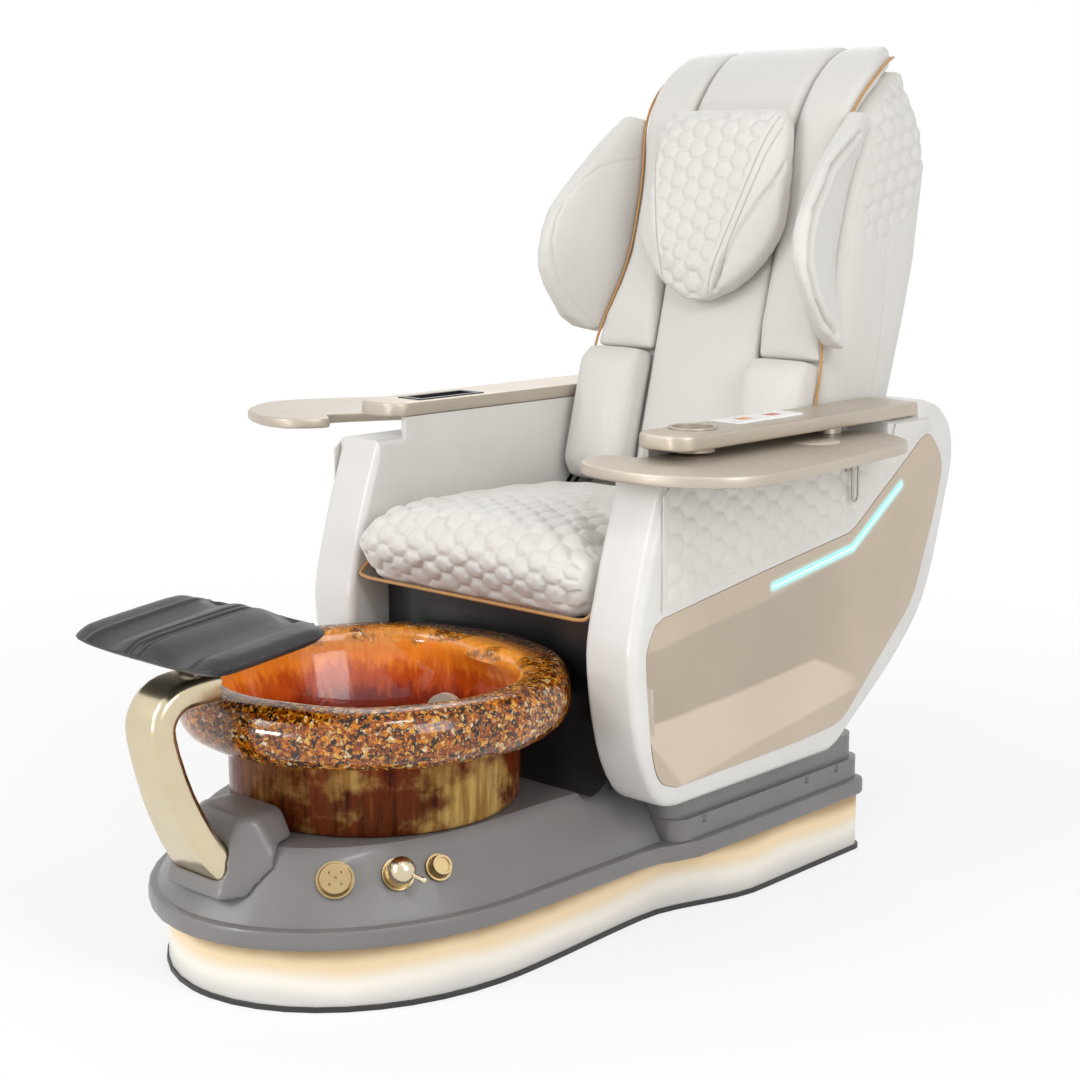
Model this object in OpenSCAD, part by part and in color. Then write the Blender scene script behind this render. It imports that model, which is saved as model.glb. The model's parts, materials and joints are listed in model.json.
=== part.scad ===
// Pedicure spa chair: a reclining massage seat between two side arms, over a
// base that carries a foot bowl with its taps and a footrest.
// Millimetres, +Z up. The front (foot) end is -Y, the sitter's left is +X.
// The origin is on the floor, under the middle of the base.

/* [Base] */
// Height of the edge strip that stands on the floor
trim_h = 8; // [6:1:12]
// Height of the lit skirt between the edge strip and the deck
skirt_h = 100; // [85:1:115]
// Wall of the moulded skirt
skirt_wall = 5; // [4:0.5:7]
// Height of the deck's rim band
lip_h = 34; // [28:1:42]
// Rise of the deck from its rim band to the bowl seat
dome_h = 104; // [92:1:118]
// Wall of the moulded deck
deck_wall = 8; // [6:0.5:10]
// Half width of the deck's front lobe
lobe_w = 338; // [330:1:360]
// Length of the front lobe ahead of its widest place
lobe_l = 432; // [420:1:460]
// How far the deck rim stands out past the skirt
skirt_step = 8; // [6:1:14]
// How much further the skirt draws in under the nose
nose_step = 26; // [0:1:34]
// Half width of the skirt at its waist
waist_w = 304; // [290:1:315]
// Half width of the deck at the rear
rear_w = 373; // [366:1:392]
// Distance of the deck's rear edge behind the middle
rear_y = 671; // [660:1:700]
// Height of the rear plinth that carries the arms
plinth_h = 86; // [76:1:96]
// Leveller foot diameter
foot_d = 44; // [36:1:56]

/* [Bowl] */
// Distance of the bowl's centre ahead of the middle
bowl_ahead = 264; // [260:1:272]
// Radius of the bowl's foot
bowl_foot_r = 246; // [236:1:249]
// Outer radius of the rolled rim
rim_r = 336; // [326:1:340]
// Height of the rim's top above the bowl's foot
bowl_h = 226; // [205:1:245]
// Height of the rolled rim
rim_h = 96; // [80:1:110]
// Glass thickness of the bowl's wall
glass_t = 12; // [8:1:16]
// Radius of the opening inside the rim
mouth_r = 262; // [250:1:272]
// Diameter of the jet's face
jet_d = 84; // [70:1:96]
// Bore of the drain tail
drain_bore = 38; // [32:1:40]

/* [Side arms] */
// Clear width between the two arms
seat_gap = 576; // [560:2:600]
// Thickness of an arm
arm_t = 112; // [104:1:120]
// Height of an arm from the plinth to the armrest
arm_h = 603; // [580:1:630]
// Radius of an arm's long edges
arm_round = 20; // [14:1:26]
// Thickness of an arm's shell
arm_wall = 9; // [7:0.5:12]
// Thickness of the side panel
panel_t = 8; // [6:0.5:9]
// Thickness of the armrest
rail_t = 27; // [22:1:32]
// Thickness of the tray
tray_t = 20; // [16:1:22]
// Tray pin diameter
tray_pin_d = 16; // [12:1:20]
// How far the left tray is swung out at rest
tray_swing = 29; // [24:1:31]
// Inside diameter of the cup holder
cup_d = 72; // [64:1:78]
// Depth of the cup holder
cup_depth = 40; // [30:1:41]

/* [Seat] */
// Thickness of the seat cushion at its side
seat_t = 112; // [96:1:125]
// Crown of the cushion's middle above its side
seat_crown = 26; // [10:1:34]
// Height of the seat cushion's underside above the floor
seat_z = 545; // [540:1:560]
// How far the seat slides forwards
seat_travel = 120; // [60:5:140]
// Width of one quilted cell
cell_w = 46; // [40:1:56]
// Depth of the quilting
cell_d = 5; // [2:0.5:7]

/* [Backrest] */
// Tilt of the backrest at rest, from upright
back_tilt = 14; // [10:0.5:18]
// Height of the backrest along its slope
back_h = 908; // [860:1:940]
// Depth of the backrest
back_d = 290; // [270:1:296]
// Width of the backrest
back_w = 562; // [540:1:564]
// Padding thickness on the backrest's front
pad_t = 32; // [24:1:38]
// Pillow width
pillow_w = 330; // [300:1:350]
// Pillow height
pillow_h = 372; // [340:1:390]
// Length of a shoulder wing outwards
wing_l = 180; // [165:1:190]

/* [Footrest] */
// Width of the foot pad
footpad_w = 378; // [350:2:400]
// Depth of the foot pad, front to back
footpad_l = 260; // [240:2:280]
// Thickness of the foot pad
footpad_t = 40; // [34:1:48]
// Width of the footrest's arm
stem_w = 84; // [70:1:96]
// Height of the foot pad's pivot above the floor
footpad_z = 544; // [535:1:560]

/* [Hidden] */

// ---- Shared values ---------------------------------------------------------
fit = 0.3;              // air between pieces that seat on each other
run = 0.05;             // radial clearance of a pin that turns in its bore
round_fn = 72;          // facets of a large round
small_fn = 40;          // facets of a small round
far = 2000;             // longer than any cut

z_skirt = trim_h;
z_deck = z_skirt + skirt_h;
z_lip = z_deck + lip_h;
z_dome = z_lip + dome_h;
z_arm = z_lip + plinth_h;
z_rail = z_arm + arm_h;
x_in = seat_gap / 2;
x_out = x_in + arm_t;
bowl_y = -bowl_ahead;
lobe_y = -243;          // where the front lobe is widest
nose_y = lobe_y - lobe_l;

// ---- Curves ----------------------------------------------------------------
function mix(a, b, t) = a + (b - a) * t;
function ease(a, b, v) = let (t = min(1, max(0, (v - a) / (b - a)))) t * t * (3 - 2 * t);
function mean(ps) = [for (k = [0:len(ps[0]) - 1])
    let (s = [for (p = ps) p[k]]) s * [for (p = ps) 1] / len(ps)];

// Catmull-Rom curve through the points, n steps to a span
function knot(p, i, closed) = closed ? p[(i + len(p)) % len(p)]
    : p[min(len(p) - 1, max(0, i))];
function curve(p, n = 4, closed = true) = [
    for (i = [0:len(p) - (closed ? 1 : 2)], k = [0:n - 1])
        let (t = k / n, a = knot(p, i - 1, closed), b = knot(p, i, closed),
             c = knot(p, i + 1, closed), d = knot(p, i + 2, closed))
        0.5 * (2 * b + (c - a) * t + (2 * a - 5 * b + 4 * c - d) * t * t
            + (3 * b - a - 3 * c + d) * t * t * t),
    if (!closed) p[len(p) - 1]];

// A closed outline moved inwards; the outline runs counter-clockwise
function inset(p, d) = let (n = len(p)) [for (i = [0:n - 1])
    let (e = p[(i + 1) % n] - p[(i + n - 1) % n], u = e / norm(e))
    p[i] + d * [-u.y, u.x]];

// Rounded rectangle about the origin, counter-clockwise, k points to a corner
function rounded(w, h, r, k = 5) = [for (q = [0:3], i = [0:k])
    let (a = 90 * q + 90 * i / k,
         cx = (q == 0 || q == 3 ? 1 : -1) * (w / 2 - r),
         cy = (q < 2 ? 1 : -1) * (h / 2 - r))
    [cx + r * cos(a), cy + r * sin(a)]];

function flip(p) = [for (i = [len(p) - 1:-1:0]) [-p[i].x, p[i].y]];
function lift(p, z) = [for (q = p) [q.x, q.y, z]];
function rev(p) = [for (i = [len(p) - 1:-1:0]) p[i]];

// Solid through a list of rings, each counter-clockwise seen from the last one
module loft(rings) {
    n = len(rings[0]);
    m = len(rings);
    pts = concat([for (r = rings) each r], [mean(rings[0]), mean(rings[m - 1])]);
    sides = [for (i = [0:m - 2], j = [0:n - 1])
        let (a = i * n + j, b = i * n + (j + 1) % n) each [[a, a + n, b + n], [a, b + n, b]]];
    caps = [for (j = [0:n - 1]) let (k = (j + 1) % n, t = (m - 1) * n)
        each [[j, k, m * n], [t + k, t + j, m * n + 1]]];
    polyhedron(points = pts, faces = concat(sides, caps), convexity = 8);
}

// Plate with rounded edges: outline in X-Y, from z to z + t
module soft_plate(outline, z, t, r, k = 3) {
    loft([for (i = [0:k]) let (a = 90 * i / k) lift(inset(outline, r * (1 - sin(a))), z + r * (1 - cos(a))),
          for (i = [0:k]) let (a = 90 * i / k)
              lift(inset(outline, r * (1 - cos(a))), z + t - r + r * sin(a))]);
}

module both_sides() {
    children();
    mirror([1, 0, 0]) children();
}

// ---- Base ------------------------------------------------------------------
// Half width of the base at y: an ellipse in front, a waist, then the rear
function base_half(y, lobe, len_, waist, flare0, flare1, rear) =
    y < lobe_y ? lobe * sqrt(max(0, 1 - pow((y - lobe_y) / len_, 2)))
    : y < flare0 ? mix(lobe, waist, ease(lobe_y, flare0, y))
    : mix(waist, rear, ease(flare0, flare1, y));

function base_outline(lobe, len_, waist, flare0, flare1, rear, end, corner = 26) =
    let (half = concat(
        [for (a = [4:8:84]) [lobe * sin(a), lobe_y - len_ * cos(a)]],
        [for (y = [lobe_y:40:end - corner - 6])
            [base_half(y, lobe, len_, waist, flare0, flare1, rear), y]],
        [for (a = [0:22.5:90]) [rear - corner + corner * cos(a), end - corner + corner * sin(a)]]))
    concat([[0, lobe_y - len_]], half, flip(half));

function deck_outline(d = 0) =
    base_outline(lobe_w - d, lobe_l - d, lobe_w + 2 - d, 50, 165, rear_w - d, rear_y - d);
function skirt_outline(d = 0) = base_outline(lobe_w - skirt_step - nose_step / 2 - d,
    lobe_l - skirt_step - nose_step - d, waist_w - d, 90, 330, rear_w - skirt_step - d,
        rear_y - skirt_step - d);

module base_trim() {
    color("#2b2b2d") difference() {
        linear_extrude(trim_h) polygon(skirt_outline(-4));
        translate([0, 0, -1]) linear_extrude(trim_h + 2) polygon(skirt_outline(skirt_wall + 8));
    }
}

module base_skirt() {
    color("#e6dccb") translate([0, 0, z_skirt]) difference() {
        linear_extrude(skirt_h) polygon(skirt_outline());
        translate([0, 0, -1]) linear_extrude(skirt_h + 2) polygon(skirt_outline(skirt_wall));
    }
}

frame_tube = 40;                        // square tube of the base frame
frame_x = waist_w - 74;                 // centre of its long tubes
frame_y = [-430, 0, rear_y - 82];       // its cross tubes
z_frame = z_lip - deck_wall - frame_tube;

module base_frame() {
    color("#5b5d60") translate([0, 0, z_frame]) {
        difference() {
            union() {
                both_sides() translate([frame_x - frame_tube / 2, frame_y[0] - frame_tube / 2, 0])
                    cube([frame_tube, frame_y[2] - frame_y[0] + frame_tube, frame_tube]);
                for (y = frame_y) translate([-frame_x, y - frame_tube / 2, 0])
                    cube([2 * frame_x, frame_tube, frame_tube]);
            }
            at_feet() translate([0, 0, -1]) cylinder(h = frame_tube / 2, d = 12, $fn = small_fn);
        }
    }
}

module at_feet() {
    for (y = frame_y, x = [-frame_x, frame_x]) translate([x, y, 0]) children();
    translate([0, frame_y[1], 0]) children();
}

module leveling_feet() {
    color("#1d1d1f") at_feet() {
        cylinder(h = 12, d1 = foot_d, d2 = foot_d - 6, $fn = small_fn);
        translate([0, 0, 11]) cylinder(h = z_frame - 11 + frame_tube / 2 - 3, d = 12 - 2 * run,
            $fn = small_fn);
    }
}

// The deck's flank leans in from the rim band to the flat bowl seat
flank_in = 20;                          // start of the flank, in from the rim
flank_out = 84;                         // end of the flank, in from the rim
z_shoulder = z_dome - 10;
dome_end = 104;                         // rear end of the dome, under the riser

function dome_outline(d) = let (side = mix(322, 262, (d - 18) / 66)) let (half = concat(
    [for (a = [4:8:84]) [(lobe_w - d) * sin(a), lobe_y - (lobe_l - d) * cos(a)]],
    [for (y = [lobe_y:34:dome_end - 12]) [mix(lobe_w - d, side, ease(-160, 40, y)), y]],
    [[side, dome_end]]))
    concat([[0, nose_y + d]], half, flip(half));

module dome(shrink, top) {
    loft([lift(dome_outline(14 + shrink), z_deck + (shrink > 0 ? -1 : 10)),
          lift(dome_outline(14 + shrink), z_lip - top),
          lift(dome_outline(flank_in + shrink), z_lip + 8 - top),
          lift(dome_outline(flank_out - 10 + shrink), z_shoulder - 4 - top),
          lift(dome_outline(flank_out + 6 + shrink), z_dome - top)]);
}

// A place on the deck's flank: a is the angle from the nose, s how far up it is
function flank_point(a, s) = let (d = mix(flank_in, flank_out - 10, s))
    [(lobe_w - d) * sin(a), lobe_y - (lobe_l - d) * cos(a), mix(z_lip + 8, z_shoulder - 4, s)];
function flank_yaw(a) = let (n = [sin(a) / lobe_w, -cos(a) / lobe_l]) atan2(n.y, n.x);
flank_pitch = atan2(flank_out - 10 - flank_in, z_shoulder - 12 - z_lip);

module on_flank(a, s = 0.66) {
    translate(flank_point(a, s)) rotate([0, 0, flank_yaw(a)]) rotate([0, 90 - flank_pitch, 0]) children();
}

spray_a = 42;                         // places of the three controls
mixer_a = 58.5;
diverter_a = 69.5;

module base_deck() {
    color("#8b8886") difference() {
        union() {
            soft_plate(deck_outline(), z_deck, lip_h, 8, 2);
            dome(0, 0);
        }
        translate([0, 0, z_deck - 1]) linear_extrude(lip_h + 1 - deck_wall) polygon(deck_outline(18));
        dome(deck_wall + 4, deck_wall);
        translate([0, bowl_y, z_deck]) cylinder(h = far, r = drain_hole_r, $fn = small_fn);
        on_flank(spray_a) translate([0, 0, -40]) cylinder(h = 80, r = spray_hole_r, $fn = small_fn);
        on_flank(mixer_a) translate([0, 0, -40]) cylinder(h = 80, r = mixer_hole_r, $fn = small_fn);
        on_flank(diverter_a) translate([0, 0, -40]) cylinder(h = 80, r = diverter_hole_r, $fn = small_fn);
    }
}

plinth_w = 352;                         // half width of the plinth's upper step
plinth_y0 = dome_end + 1;
plinth_y1 = rear_y - 12;
notch = 8;

function plinth_outline(d) = let (c = 34, w = plinth_w - d, y0 = plinth_y0 + max(0, d), y1 = plinth_y1 - d)
    [for (q = rounded(2 * w, y1 - y0, c, 4)) q + [0, (y0 + y1) / 2]];

module plinth() {
    step_h = plinth_h * 0.46;
    color("#827f7d") translate([0, 0, z_lip]) difference() {
        union() {
            linear_extrude(step_h) polygon(plinth_outline(-9));
            linear_extrude(plinth_h) polygon(plinth_outline(0));
        }
        translate([0, 0, -1]) linear_extrude(plinth_h + 1 - deck_wall) polygon(plinth_outline(deck_wall));
        both_sides() for (y = [175, 480, 575]) translate([plinth_w + 9, y, step_h - 16])
            rotate([0, 0, 45]) cube([notch, notch, 60], center = false);
    }
}

panel_y = bowl_y + rim_r + 8;           // back of the recess behind the bowl
panel_side_y = 36;                      // the front panel's side parts
panel_wall = 6;
z_panel = z_dome + 104;

// The coved riser carries the front panel up behind the bowl
module riser() {
    rise = z_panel - z_dome;
    cove = [for (a = [0:15:90]) [panel_side_y - 72 * (1 - sin(a)), fit + rise * (1 - cos(a))]];
    color("#6f6d6c") translate([0, 0, z_dome]) difference() {
        translate([-x_in + 1, 0, 0]) rotate([90, 0, 90]) linear_extrude(seat_gap - 2)
            polygon(concat([[dome_end - 2, fit], [dome_end - 2, rise]], rev(cove)));
        translate([0, bowl_y, 0]) cylinder(h = 2 * rise, r = bowl_foot_r + 6, $fn = round_fn);
        translate([-x_in + 24, panel_y + 10, -1]) cube([seat_gap - 48, dome_end, rise]);
    }
}

z_panel_top = seat_z - 8;

module front_panel() {
    recess = sqrt(pow(rim_r + 6, 2) - pow(panel_side_y - bowl_y, 2));
    w = x_in - fit;
    color("#101012") translate([0, 0, z_panel + fit]) linear_extrude(z_panel_top - z_panel) polygon([
        [-w, panel_side_y], [-recess - 6, panel_side_y], [-recess * 0.55, panel_y], [recess * 0.55,
            panel_y],
        [recess + 6, panel_side_y], [w, panel_side_y],
        [w, panel_side_y + panel_wall], [recess + 3, panel_side_y + panel_wall],
        [recess * 0.55 - 3, panel_y + panel_wall], [-recess * 0.55 + 3, panel_y + panel_wall],
        [-recess - 3, panel_side_y + panel_wall], [-w, panel_side_y + panel_wall]]);
}

rear_panel_y = 540;
rear_panel_t = 6;
z_rear_panel = 435;
inlet_w = 50;
inlet_h = 28;
inlet_x = -180;
inlet_z = z_arm + 60;
switch_w = 20;
switch_h = 30;
switch_x = inlet_x + 60;

module rear_panel() {
    color("#19191b") difference() {
        translate([-x_in + fit, rear_panel_y, z_arm])
            cube([seat_gap - 2 * fit, rear_panel_t, z_rear_panel - z_arm]);
        translate([inlet_x - inlet_w / 2, rear_panel_y - 1, inlet_z - inlet_h / 2])
            cube([inlet_w, rear_panel_t + 2, inlet_h]);
        translate([switch_x - switch_w / 2, rear_panel_y - 1, inlet_z - switch_h / 2])
            cube([switch_w, rear_panel_t + 2, switch_h]);
        for (i = [0:7]) translate([40, rear_panel_y - 1, z_arm + 50 + 14 * i])
            cube([150, rear_panel_t + 2, 6]);
    }
}

module power_inlet() {
    color("#0e0e10") difference() {
        union() {
            translate([inlet_x - inlet_w / 2 + fit, rear_panel_y - 22, inlet_z - inlet_h / 2 + fit])
                cube([inlet_w - 2 * fit, 30, inlet_h - 2 * fit]);
            translate([inlet_x - inlet_w / 2 - 5, rear_panel_y + rear_panel_t + fit,
                inlet_z - switch_h / 2 - 5])
                cube([switch_x - inlet_x + inlet_w / 2 + switch_w / 2 + 10, 3, switch_h + 10]);
            translate([switch_x - switch_w / 2 - 3, rear_panel_y - 26, inlet_z - switch_h / 2 - 3])
                cube([switch_w + 6, 26 - fit, switch_h + 6]);
            translate([switch_x - switch_w / 2 + fit, rear_panel_y - 1, inlet_z - switch_h / 2 + fit])
                cube([switch_w - 2 * fit, 9, switch_h - 2 * fit]);
        }
        translate([switch_x - switch_w / 2 + 1, rear_panel_y + 1, inlet_z]) rotate([0, 90, 0])
            cylinder(h = switch_w - 2, r = switch_r + fit, $fn = small_fn);
        translate([switch_x - switch_w / 2 + 1, rear_panel_y + 1, inlet_z - switch_r - fit])
            cube([switch_w - 2, far, 2 * switch_r + 2 * fit]);
        translate([inlet_x - 12, rear_panel_y - 8, inlet_z - 8]) cube([24, far, 16]);
    }
}

switch_r = 13;                          // the rocker turns about its own barrel
module power_switch() {
    color("#b3261e") translate([switch_x - switch_w / 2 + 1 + fit, rear_panel_y + 1, inlet_z])
        rotate([0, 90, 0])
        cylinder(h = switch_w - 2 - 2 * fit, r = switch_r, $fn = small_fn);
}

// ---- Footrest --------------------------------------------------------------
stem_d = 46;                            // front to back depth of the stem
stem_top = footpad_z - 34;
stem_path = [for (p = curve([[0, 103, z_dome - 100], [0, 63, z_dome - 46], [0, 23, z_dome + 6],
    [0, -19, z_dome + 94], [0, -46, z_dome + 190], [0, -41, stem_top - 36],
    [0, -15, stem_top - 12], [0, 25, stem_top - 6], [0, 59, stem_top - 6]], 3, false))
    p + [0, nose_y, 0]];

function stem_ring(i, grow = 0) = let (n = len(stem_path), p = stem_path[i],
        e = stem_path[min(n - 1, i + 1)] - stem_path[max(0, i - 1)], u = e / norm(e),
        s = mix(1.2, 1, ease(0, 6, i)))
    [for (q = rounded(stem_w * mix(1.75, 1, ease(0, 12, i)) + grow, stem_d * s + grow, 14, 3))
        p + [q.x, 0, 0] + q.y * [0, u.z, -u.y]];

module stem(grow = 0) {
    loft([for (i = [0:len(stem_path) - 1]) stem_ring(i, grow)]);
}

// Faceted hump on the deck's nose that holds the stem
module foot_socket() {
    back = bowl_y - bowl_foot_r - 6;
    function ring(front, w0, w1, w2, z) = lift([[-w0, front], [w0, front], [w1, back - 62], [w2, back],
        [-w2, back], [-w1, back - 62]], z);
    color("#8b8886") difference() {
        loft([ring(nose_y + 15, 70, 124, 98, z_lip + 30), ring(nose_y + 41, 62, 108, 86, z_dome + fit),
              ring(nose_y + 69, 50, 72, 62, z_dome + 42), ring(nose_y + 77, 44, 60, 52, z_dome + 48)]);
        dome(-fit, -fit);
        stem(2 * fit);
    }
}

module foot_stem() {
    color("#d8c78f") difference() {
        stem();
        dome(-fit, -fit);
    }
}

pivot_y = nose_y + 35;                  // the foot pad's pivot
pivot_r = 7;
ear_t = 6;
ear_x = 20;
ear_r = 13;

module foot_bracket() {
    color("#b9b9bc") difference() {
        both_sides() {
            translate([ear_x, pivot_y - ear_r, stem_top]) cube([ear_t, 2 * ear_r, footpad_z - stem_top]);
            translate([ear_x, pivot_y, footpad_z]) rotate([0, 90, 0])
                cylinder(h = ear_t, r = ear_r, $fn = small_fn);
        }
        stem(2 * fit);
        translate([0, pivot_y, footpad_z]) rotate([0, 90, 0])
            cylinder(h = far, r = pivot_r + run, center = true, $fn = small_fn);
    }
}

// Foot pad: two hollows side by side, on a tilting plate with a pivot tube
function pad_top(x, y) = let (u = abs(x) / (footpad_w / 2), v = (y + footpad_l / 2) / footpad_l)
    -14 * exp(-pow((u - 0.5) / 0.26, 2)) * (1 - 0.4 * v)
    - 6 * exp(-pow(u / 0.05, 2)) - 4 * pow(u, 6);

pad_up = 22;                            // underside of the pad above its pivot
pad_slope = 0.11;                       // fall of the pad towards its front
module foot_pad() {
    nx = 24;
    ny = 9;
    color("#3a3a3c") {
        translate([0, pivot_y + 14, footpad_z + pad_up]) loft([for (i = [0:nx])
            let (t = i / nx, x = (t - 0.5) * footpad_w, e = sqrt(max(0, 1 - pow(abs(2 * t - 1), 9))),
                 half = footpad_l / 2 * (0.84 + 0.16 * e) - 17 * pow(abs(2 * t - 1), 3))
            concat([for (j = [0:ny]) let (y = mix(-half, half, j / ny),
                         f = sqrt(max(0, 1 - pow(abs(2 * j / ny - 1), 6))))
                        [x, y, mix(footpad_t * 0.5 - 1, 0, e * f) + pad_slope * y]],
                   [for (j = [ny:-1:0]) let (y = mix(-half, half, j / ny),
                         f = sqrt(max(0, 1 - pow(abs(2 * j / ny - 1), 6))))
                        [x, y, mix(footpad_t * 0.5, footpad_t + pad_top(x, y), e * f) + pad_slope * y]])]);
    }
    color("#b9b9bc") translate([-ear_x + fit, pivot_y, footpad_z]) {
        translate([0, -10, 0]) cube([2 * ear_x - 2 * fit, 20, pad_up + 3]);
        rotate([0, 90, 0]) cylinder(h = 2 * ear_x - 2 * fit, r = ear_r - 1, $fn = small_fn);
    }
    color("#b9b9bc") translate([-ear_x - ear_t - 3, pivot_y, footpad_z]) rotate([0, 90, 0])
        cylinder(h = 2 * (ear_x + ear_t + 3), r = pivot_r, $fn = small_fn);
}

// ---- Bowl ------------------------------------------------------------------
z_bowl = z_dome + fit;
drain_hole_r = drain_bore / 2 + 12;
floor_t = 14;

module bowl() {
    r = rim_r;
    m = mouth_r;
    f = bowl_foot_r;
    zr = bowl_h - rim_h;                // underside of the rolled rim
    color("#c4661c") translate([0, bowl_y, z_bowl]) difference() {
        rotate_extrude($fn = 96) polygon(concat(
            [[0, 0], [f - 8, 0], [f - 2, 6], [f, 16], [f + 2, zr - 6], [f + 8, zr - 2]],
            [for (a = [-80:16:80]) [r - 34 + 34 * cos(a), zr + rim_h / 2 + (rim_h / 2) * sin(a)]],
            [for (a = [80:20:180]) [m + 22 + 22 * cos(a), bowl_h - 16 + 16 * sin(a)]],
            [[m - 6, bowl_h - 40], [m - 22, zr + 20], [f - glass_t - 4, zr - 30],
             [f - glass_t - 16, floor_t + 34], [f - glass_t - 34, floor_t + 10], [f - glass_t - 60,
                 floor_t],
             [0, floor_t - 4]]));
        translate([0, 0, -1]) cylinder(h = far, r = drain_bore / 2 + 4, $fn = small_fn);
        on_jet() translate([0, 0, -60]) cylinder(h = 120, r = jet_pipe_r, $fn = small_fn);
    }
}

// The jet is on the inner wall at the far side, facing the bowl's centre
jet_a = 100;                            // its direction from the bowl's centre
jet_z = 84;
jet_pipe_r = 24;
jet_wall_r = bowl_foot_r - glass_t - 18;
module on_jet() {
    rotate([0, 0, jet_a]) translate([jet_wall_r, 0, jet_z]) rotate([0, -90, 0]) children();
}

jet_face_t = 12;
jet_back = -20;                         // floor of the jet's chamber
spindle_r = 3;
module jet_housing() {
    color("#d9d4c6") translate([0, bowl_y, z_bowl]) on_jet() {
        difference() {
            union() {
                translate([0, 0, 3]) cylinder(h = jet_face_t, d = jet_d, $fn = small_fn);
                translate([0, 0, jet_back - 4]) cylinder(h = 28, r = jet_pipe_r - fit, $fn = small_fn);
            }
            translate([0, 0, jet_back])
                cylinder(h = jet_face_t - 1 - jet_back, r = jet_pipe_r - 5, $fn = small_fn);
            for (a = [0:60:300]) rotate([0, 0, a]) translate([11, 0, 0])
                cylinder(h = far, d = 7, $fn = small_fn);
        }
        translate([0, 0, jet_back - 1]) cylinder(h = 18, r = spindle_r, $fn = small_fn);
    }
}

module jet_impeller() {
    r = jet_pipe_r - 6.5;
    color("#f2f2f0") translate([0, bowl_y, z_bowl]) on_jet() translate([0, 0, jet_back + fit]) {
        difference() {
            union() {
                cylinder(h = 14, r = 6.5, $fn = small_fn);
                for (a = [0:72:288]) rotate([0, 0, a]) translate([5, -1.2, 1]) cube([r - 5, 2.4, 12]);
            }
            translate([0, 0, -1]) cylinder(h = far, r = spindle_r + run, $fn = small_fn);
        }
    }
}

drain_r = drain_bore / 2;
drain_len = z_bowl + floor_t - z_deck + 40;
module drain() {
    color("#c9cbce") translate([0, bowl_y, z_bowl + floor_t]) difference() {
        union() {
            translate([0, 0, -2.8]) cylinder(h = 4.1, r = drain_r + 18, $fn = round_fn);
            translate([0, 0, -drain_len]) cylinder(h = drain_len, r = drain_r + 3.6, $fn = round_fn);
            translate([0, 0, -floor_t - deck_wall - 8 - fit]) cylinder(h = 7.7, r = drain_r + 18, $fn = 6);
        }
        translate([0, 0, -drain_len - 1]) cylinder(h = far, r = drain_r, $fn = round_fn);
    }
}

module drain_stopper() {
    color("#d6d8da") translate([0, bowl_y, z_bowl + floor_t]) {
        translate([0, 0, 1.6]) cylinder(h = 4, r = drain_r + 8, $fn = round_fn);
        translate([0, 0, 5.6]) cylinder(h = 5, r1 = 9, r2 = 7, $fn = small_fn);
        translate([0, 0, -34]) cylinder(h = 36, r = 5, $fn = small_fn);
        for (a = [0:120:240]) rotate([0, 0, a]) translate([0, -1, -34]) cube([drain_r - 0.4, 2, 24]);
    }
}

// ---- Taps on the deck's flank ----------------------------------------------
spray_r = 27;
spray_hole_r = 19;
mixer_r = 21;
mixer_hole_r = 16;
diverter_r = 20;
diverter_hole_r = 13;
flange_t = 6;
body_len = 52;                          // tap bodies behind the deck

module tap_body(r_flange, r_hole, r_bore, depth) {
    difference() {
        union() {
            translate([0, 0, fit]) cylinder(h = flange_t, r = r_flange, $fn = small_fn);
            translate([0, 0, -body_len]) cylinder(h = body_len + 1, r = r_hole - fit, $fn = small_fn);
        }
        translate([0, 0, -depth]) cylinder(h = far, r = r_bore, $fn = small_fn);
    }
}

mixer_bore_r = 12;
diverter_bore_r = 8;
spray_bore_r = 13;
module control_flanges() {
    color("#b99a5b") {
        on_flank(spray_a) tap_body(spray_r + 3, spray_hole_r, spray_bore_r + 1, body_len + 1);
        on_flank(mixer_a) tap_body(mixer_r + 5, mixer_hole_r, mixer_bore_r, 30);
        on_flank(diverter_a) tap_body(diverter_r + 2, diverter_hole_r, diverter_bore_r, 30);
    }
}

spray_travel = 60;                      // how far the head is drawn out on its stem
module spray_head() {
    color("#c2a869") on_flank(spray_a) {
        difference() {
            translate([0, 0, flange_t + 2 * fit])
                cylinder(h = 9, r1 = spray_r, r2 = spray_r - 3, $fn = round_fn);
            for (a = [45:90:315]) rotate([0, 0, a]) translate([13, 0, flange_t + 5])
                cylinder(h = 20, d = 4, $fn = small_fn);
            translate([0, 0, flange_t + 6]) cylinder(h = 20, d = 6, $fn = small_fn);
        }
        translate([0, 0, -spray_travel - 2])
            cylinder(h = spray_travel + 3 + flange_t, r = spray_bore_r - 1, $fn = small_fn);
    }
}

ball_r = 22;
ball_up = flange_t + 23;
module mixer_collar() {
    color("#b99a5b") on_flank(mixer_a) difference() {
        union() {
            translate([0, 0, flange_t + 2 * fit]) cylinder(h = 9, r = mixer_r + 2, $fn = round_fn);
            translate([0, 0, -28]) cylinder(h = 36, r = mixer_bore_r - run, $fn = small_fn);
        }
        translate([0, 0, ball_up]) sphere(r = ball_r + fit, $fn = round_fn);
    }
}

// The ball rises off its seat's middle, so the lever tips in the cup
module mixer_lever() {
    color("#d8bd7a") on_flank(mixer_a) translate([0, 0, ball_up]) {
        sphere(r = ball_r, $fn = round_fn);
        rotate([0, 0, 52]) rotate([0, 72, 0]) {
            cylinder(h = ball_r + 17, r = 4, $fn = small_fn);
            translate([0, 0, ball_r + 16]) sphere(r = 5.5, $fn = small_fn);
        }
    }
}

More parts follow.
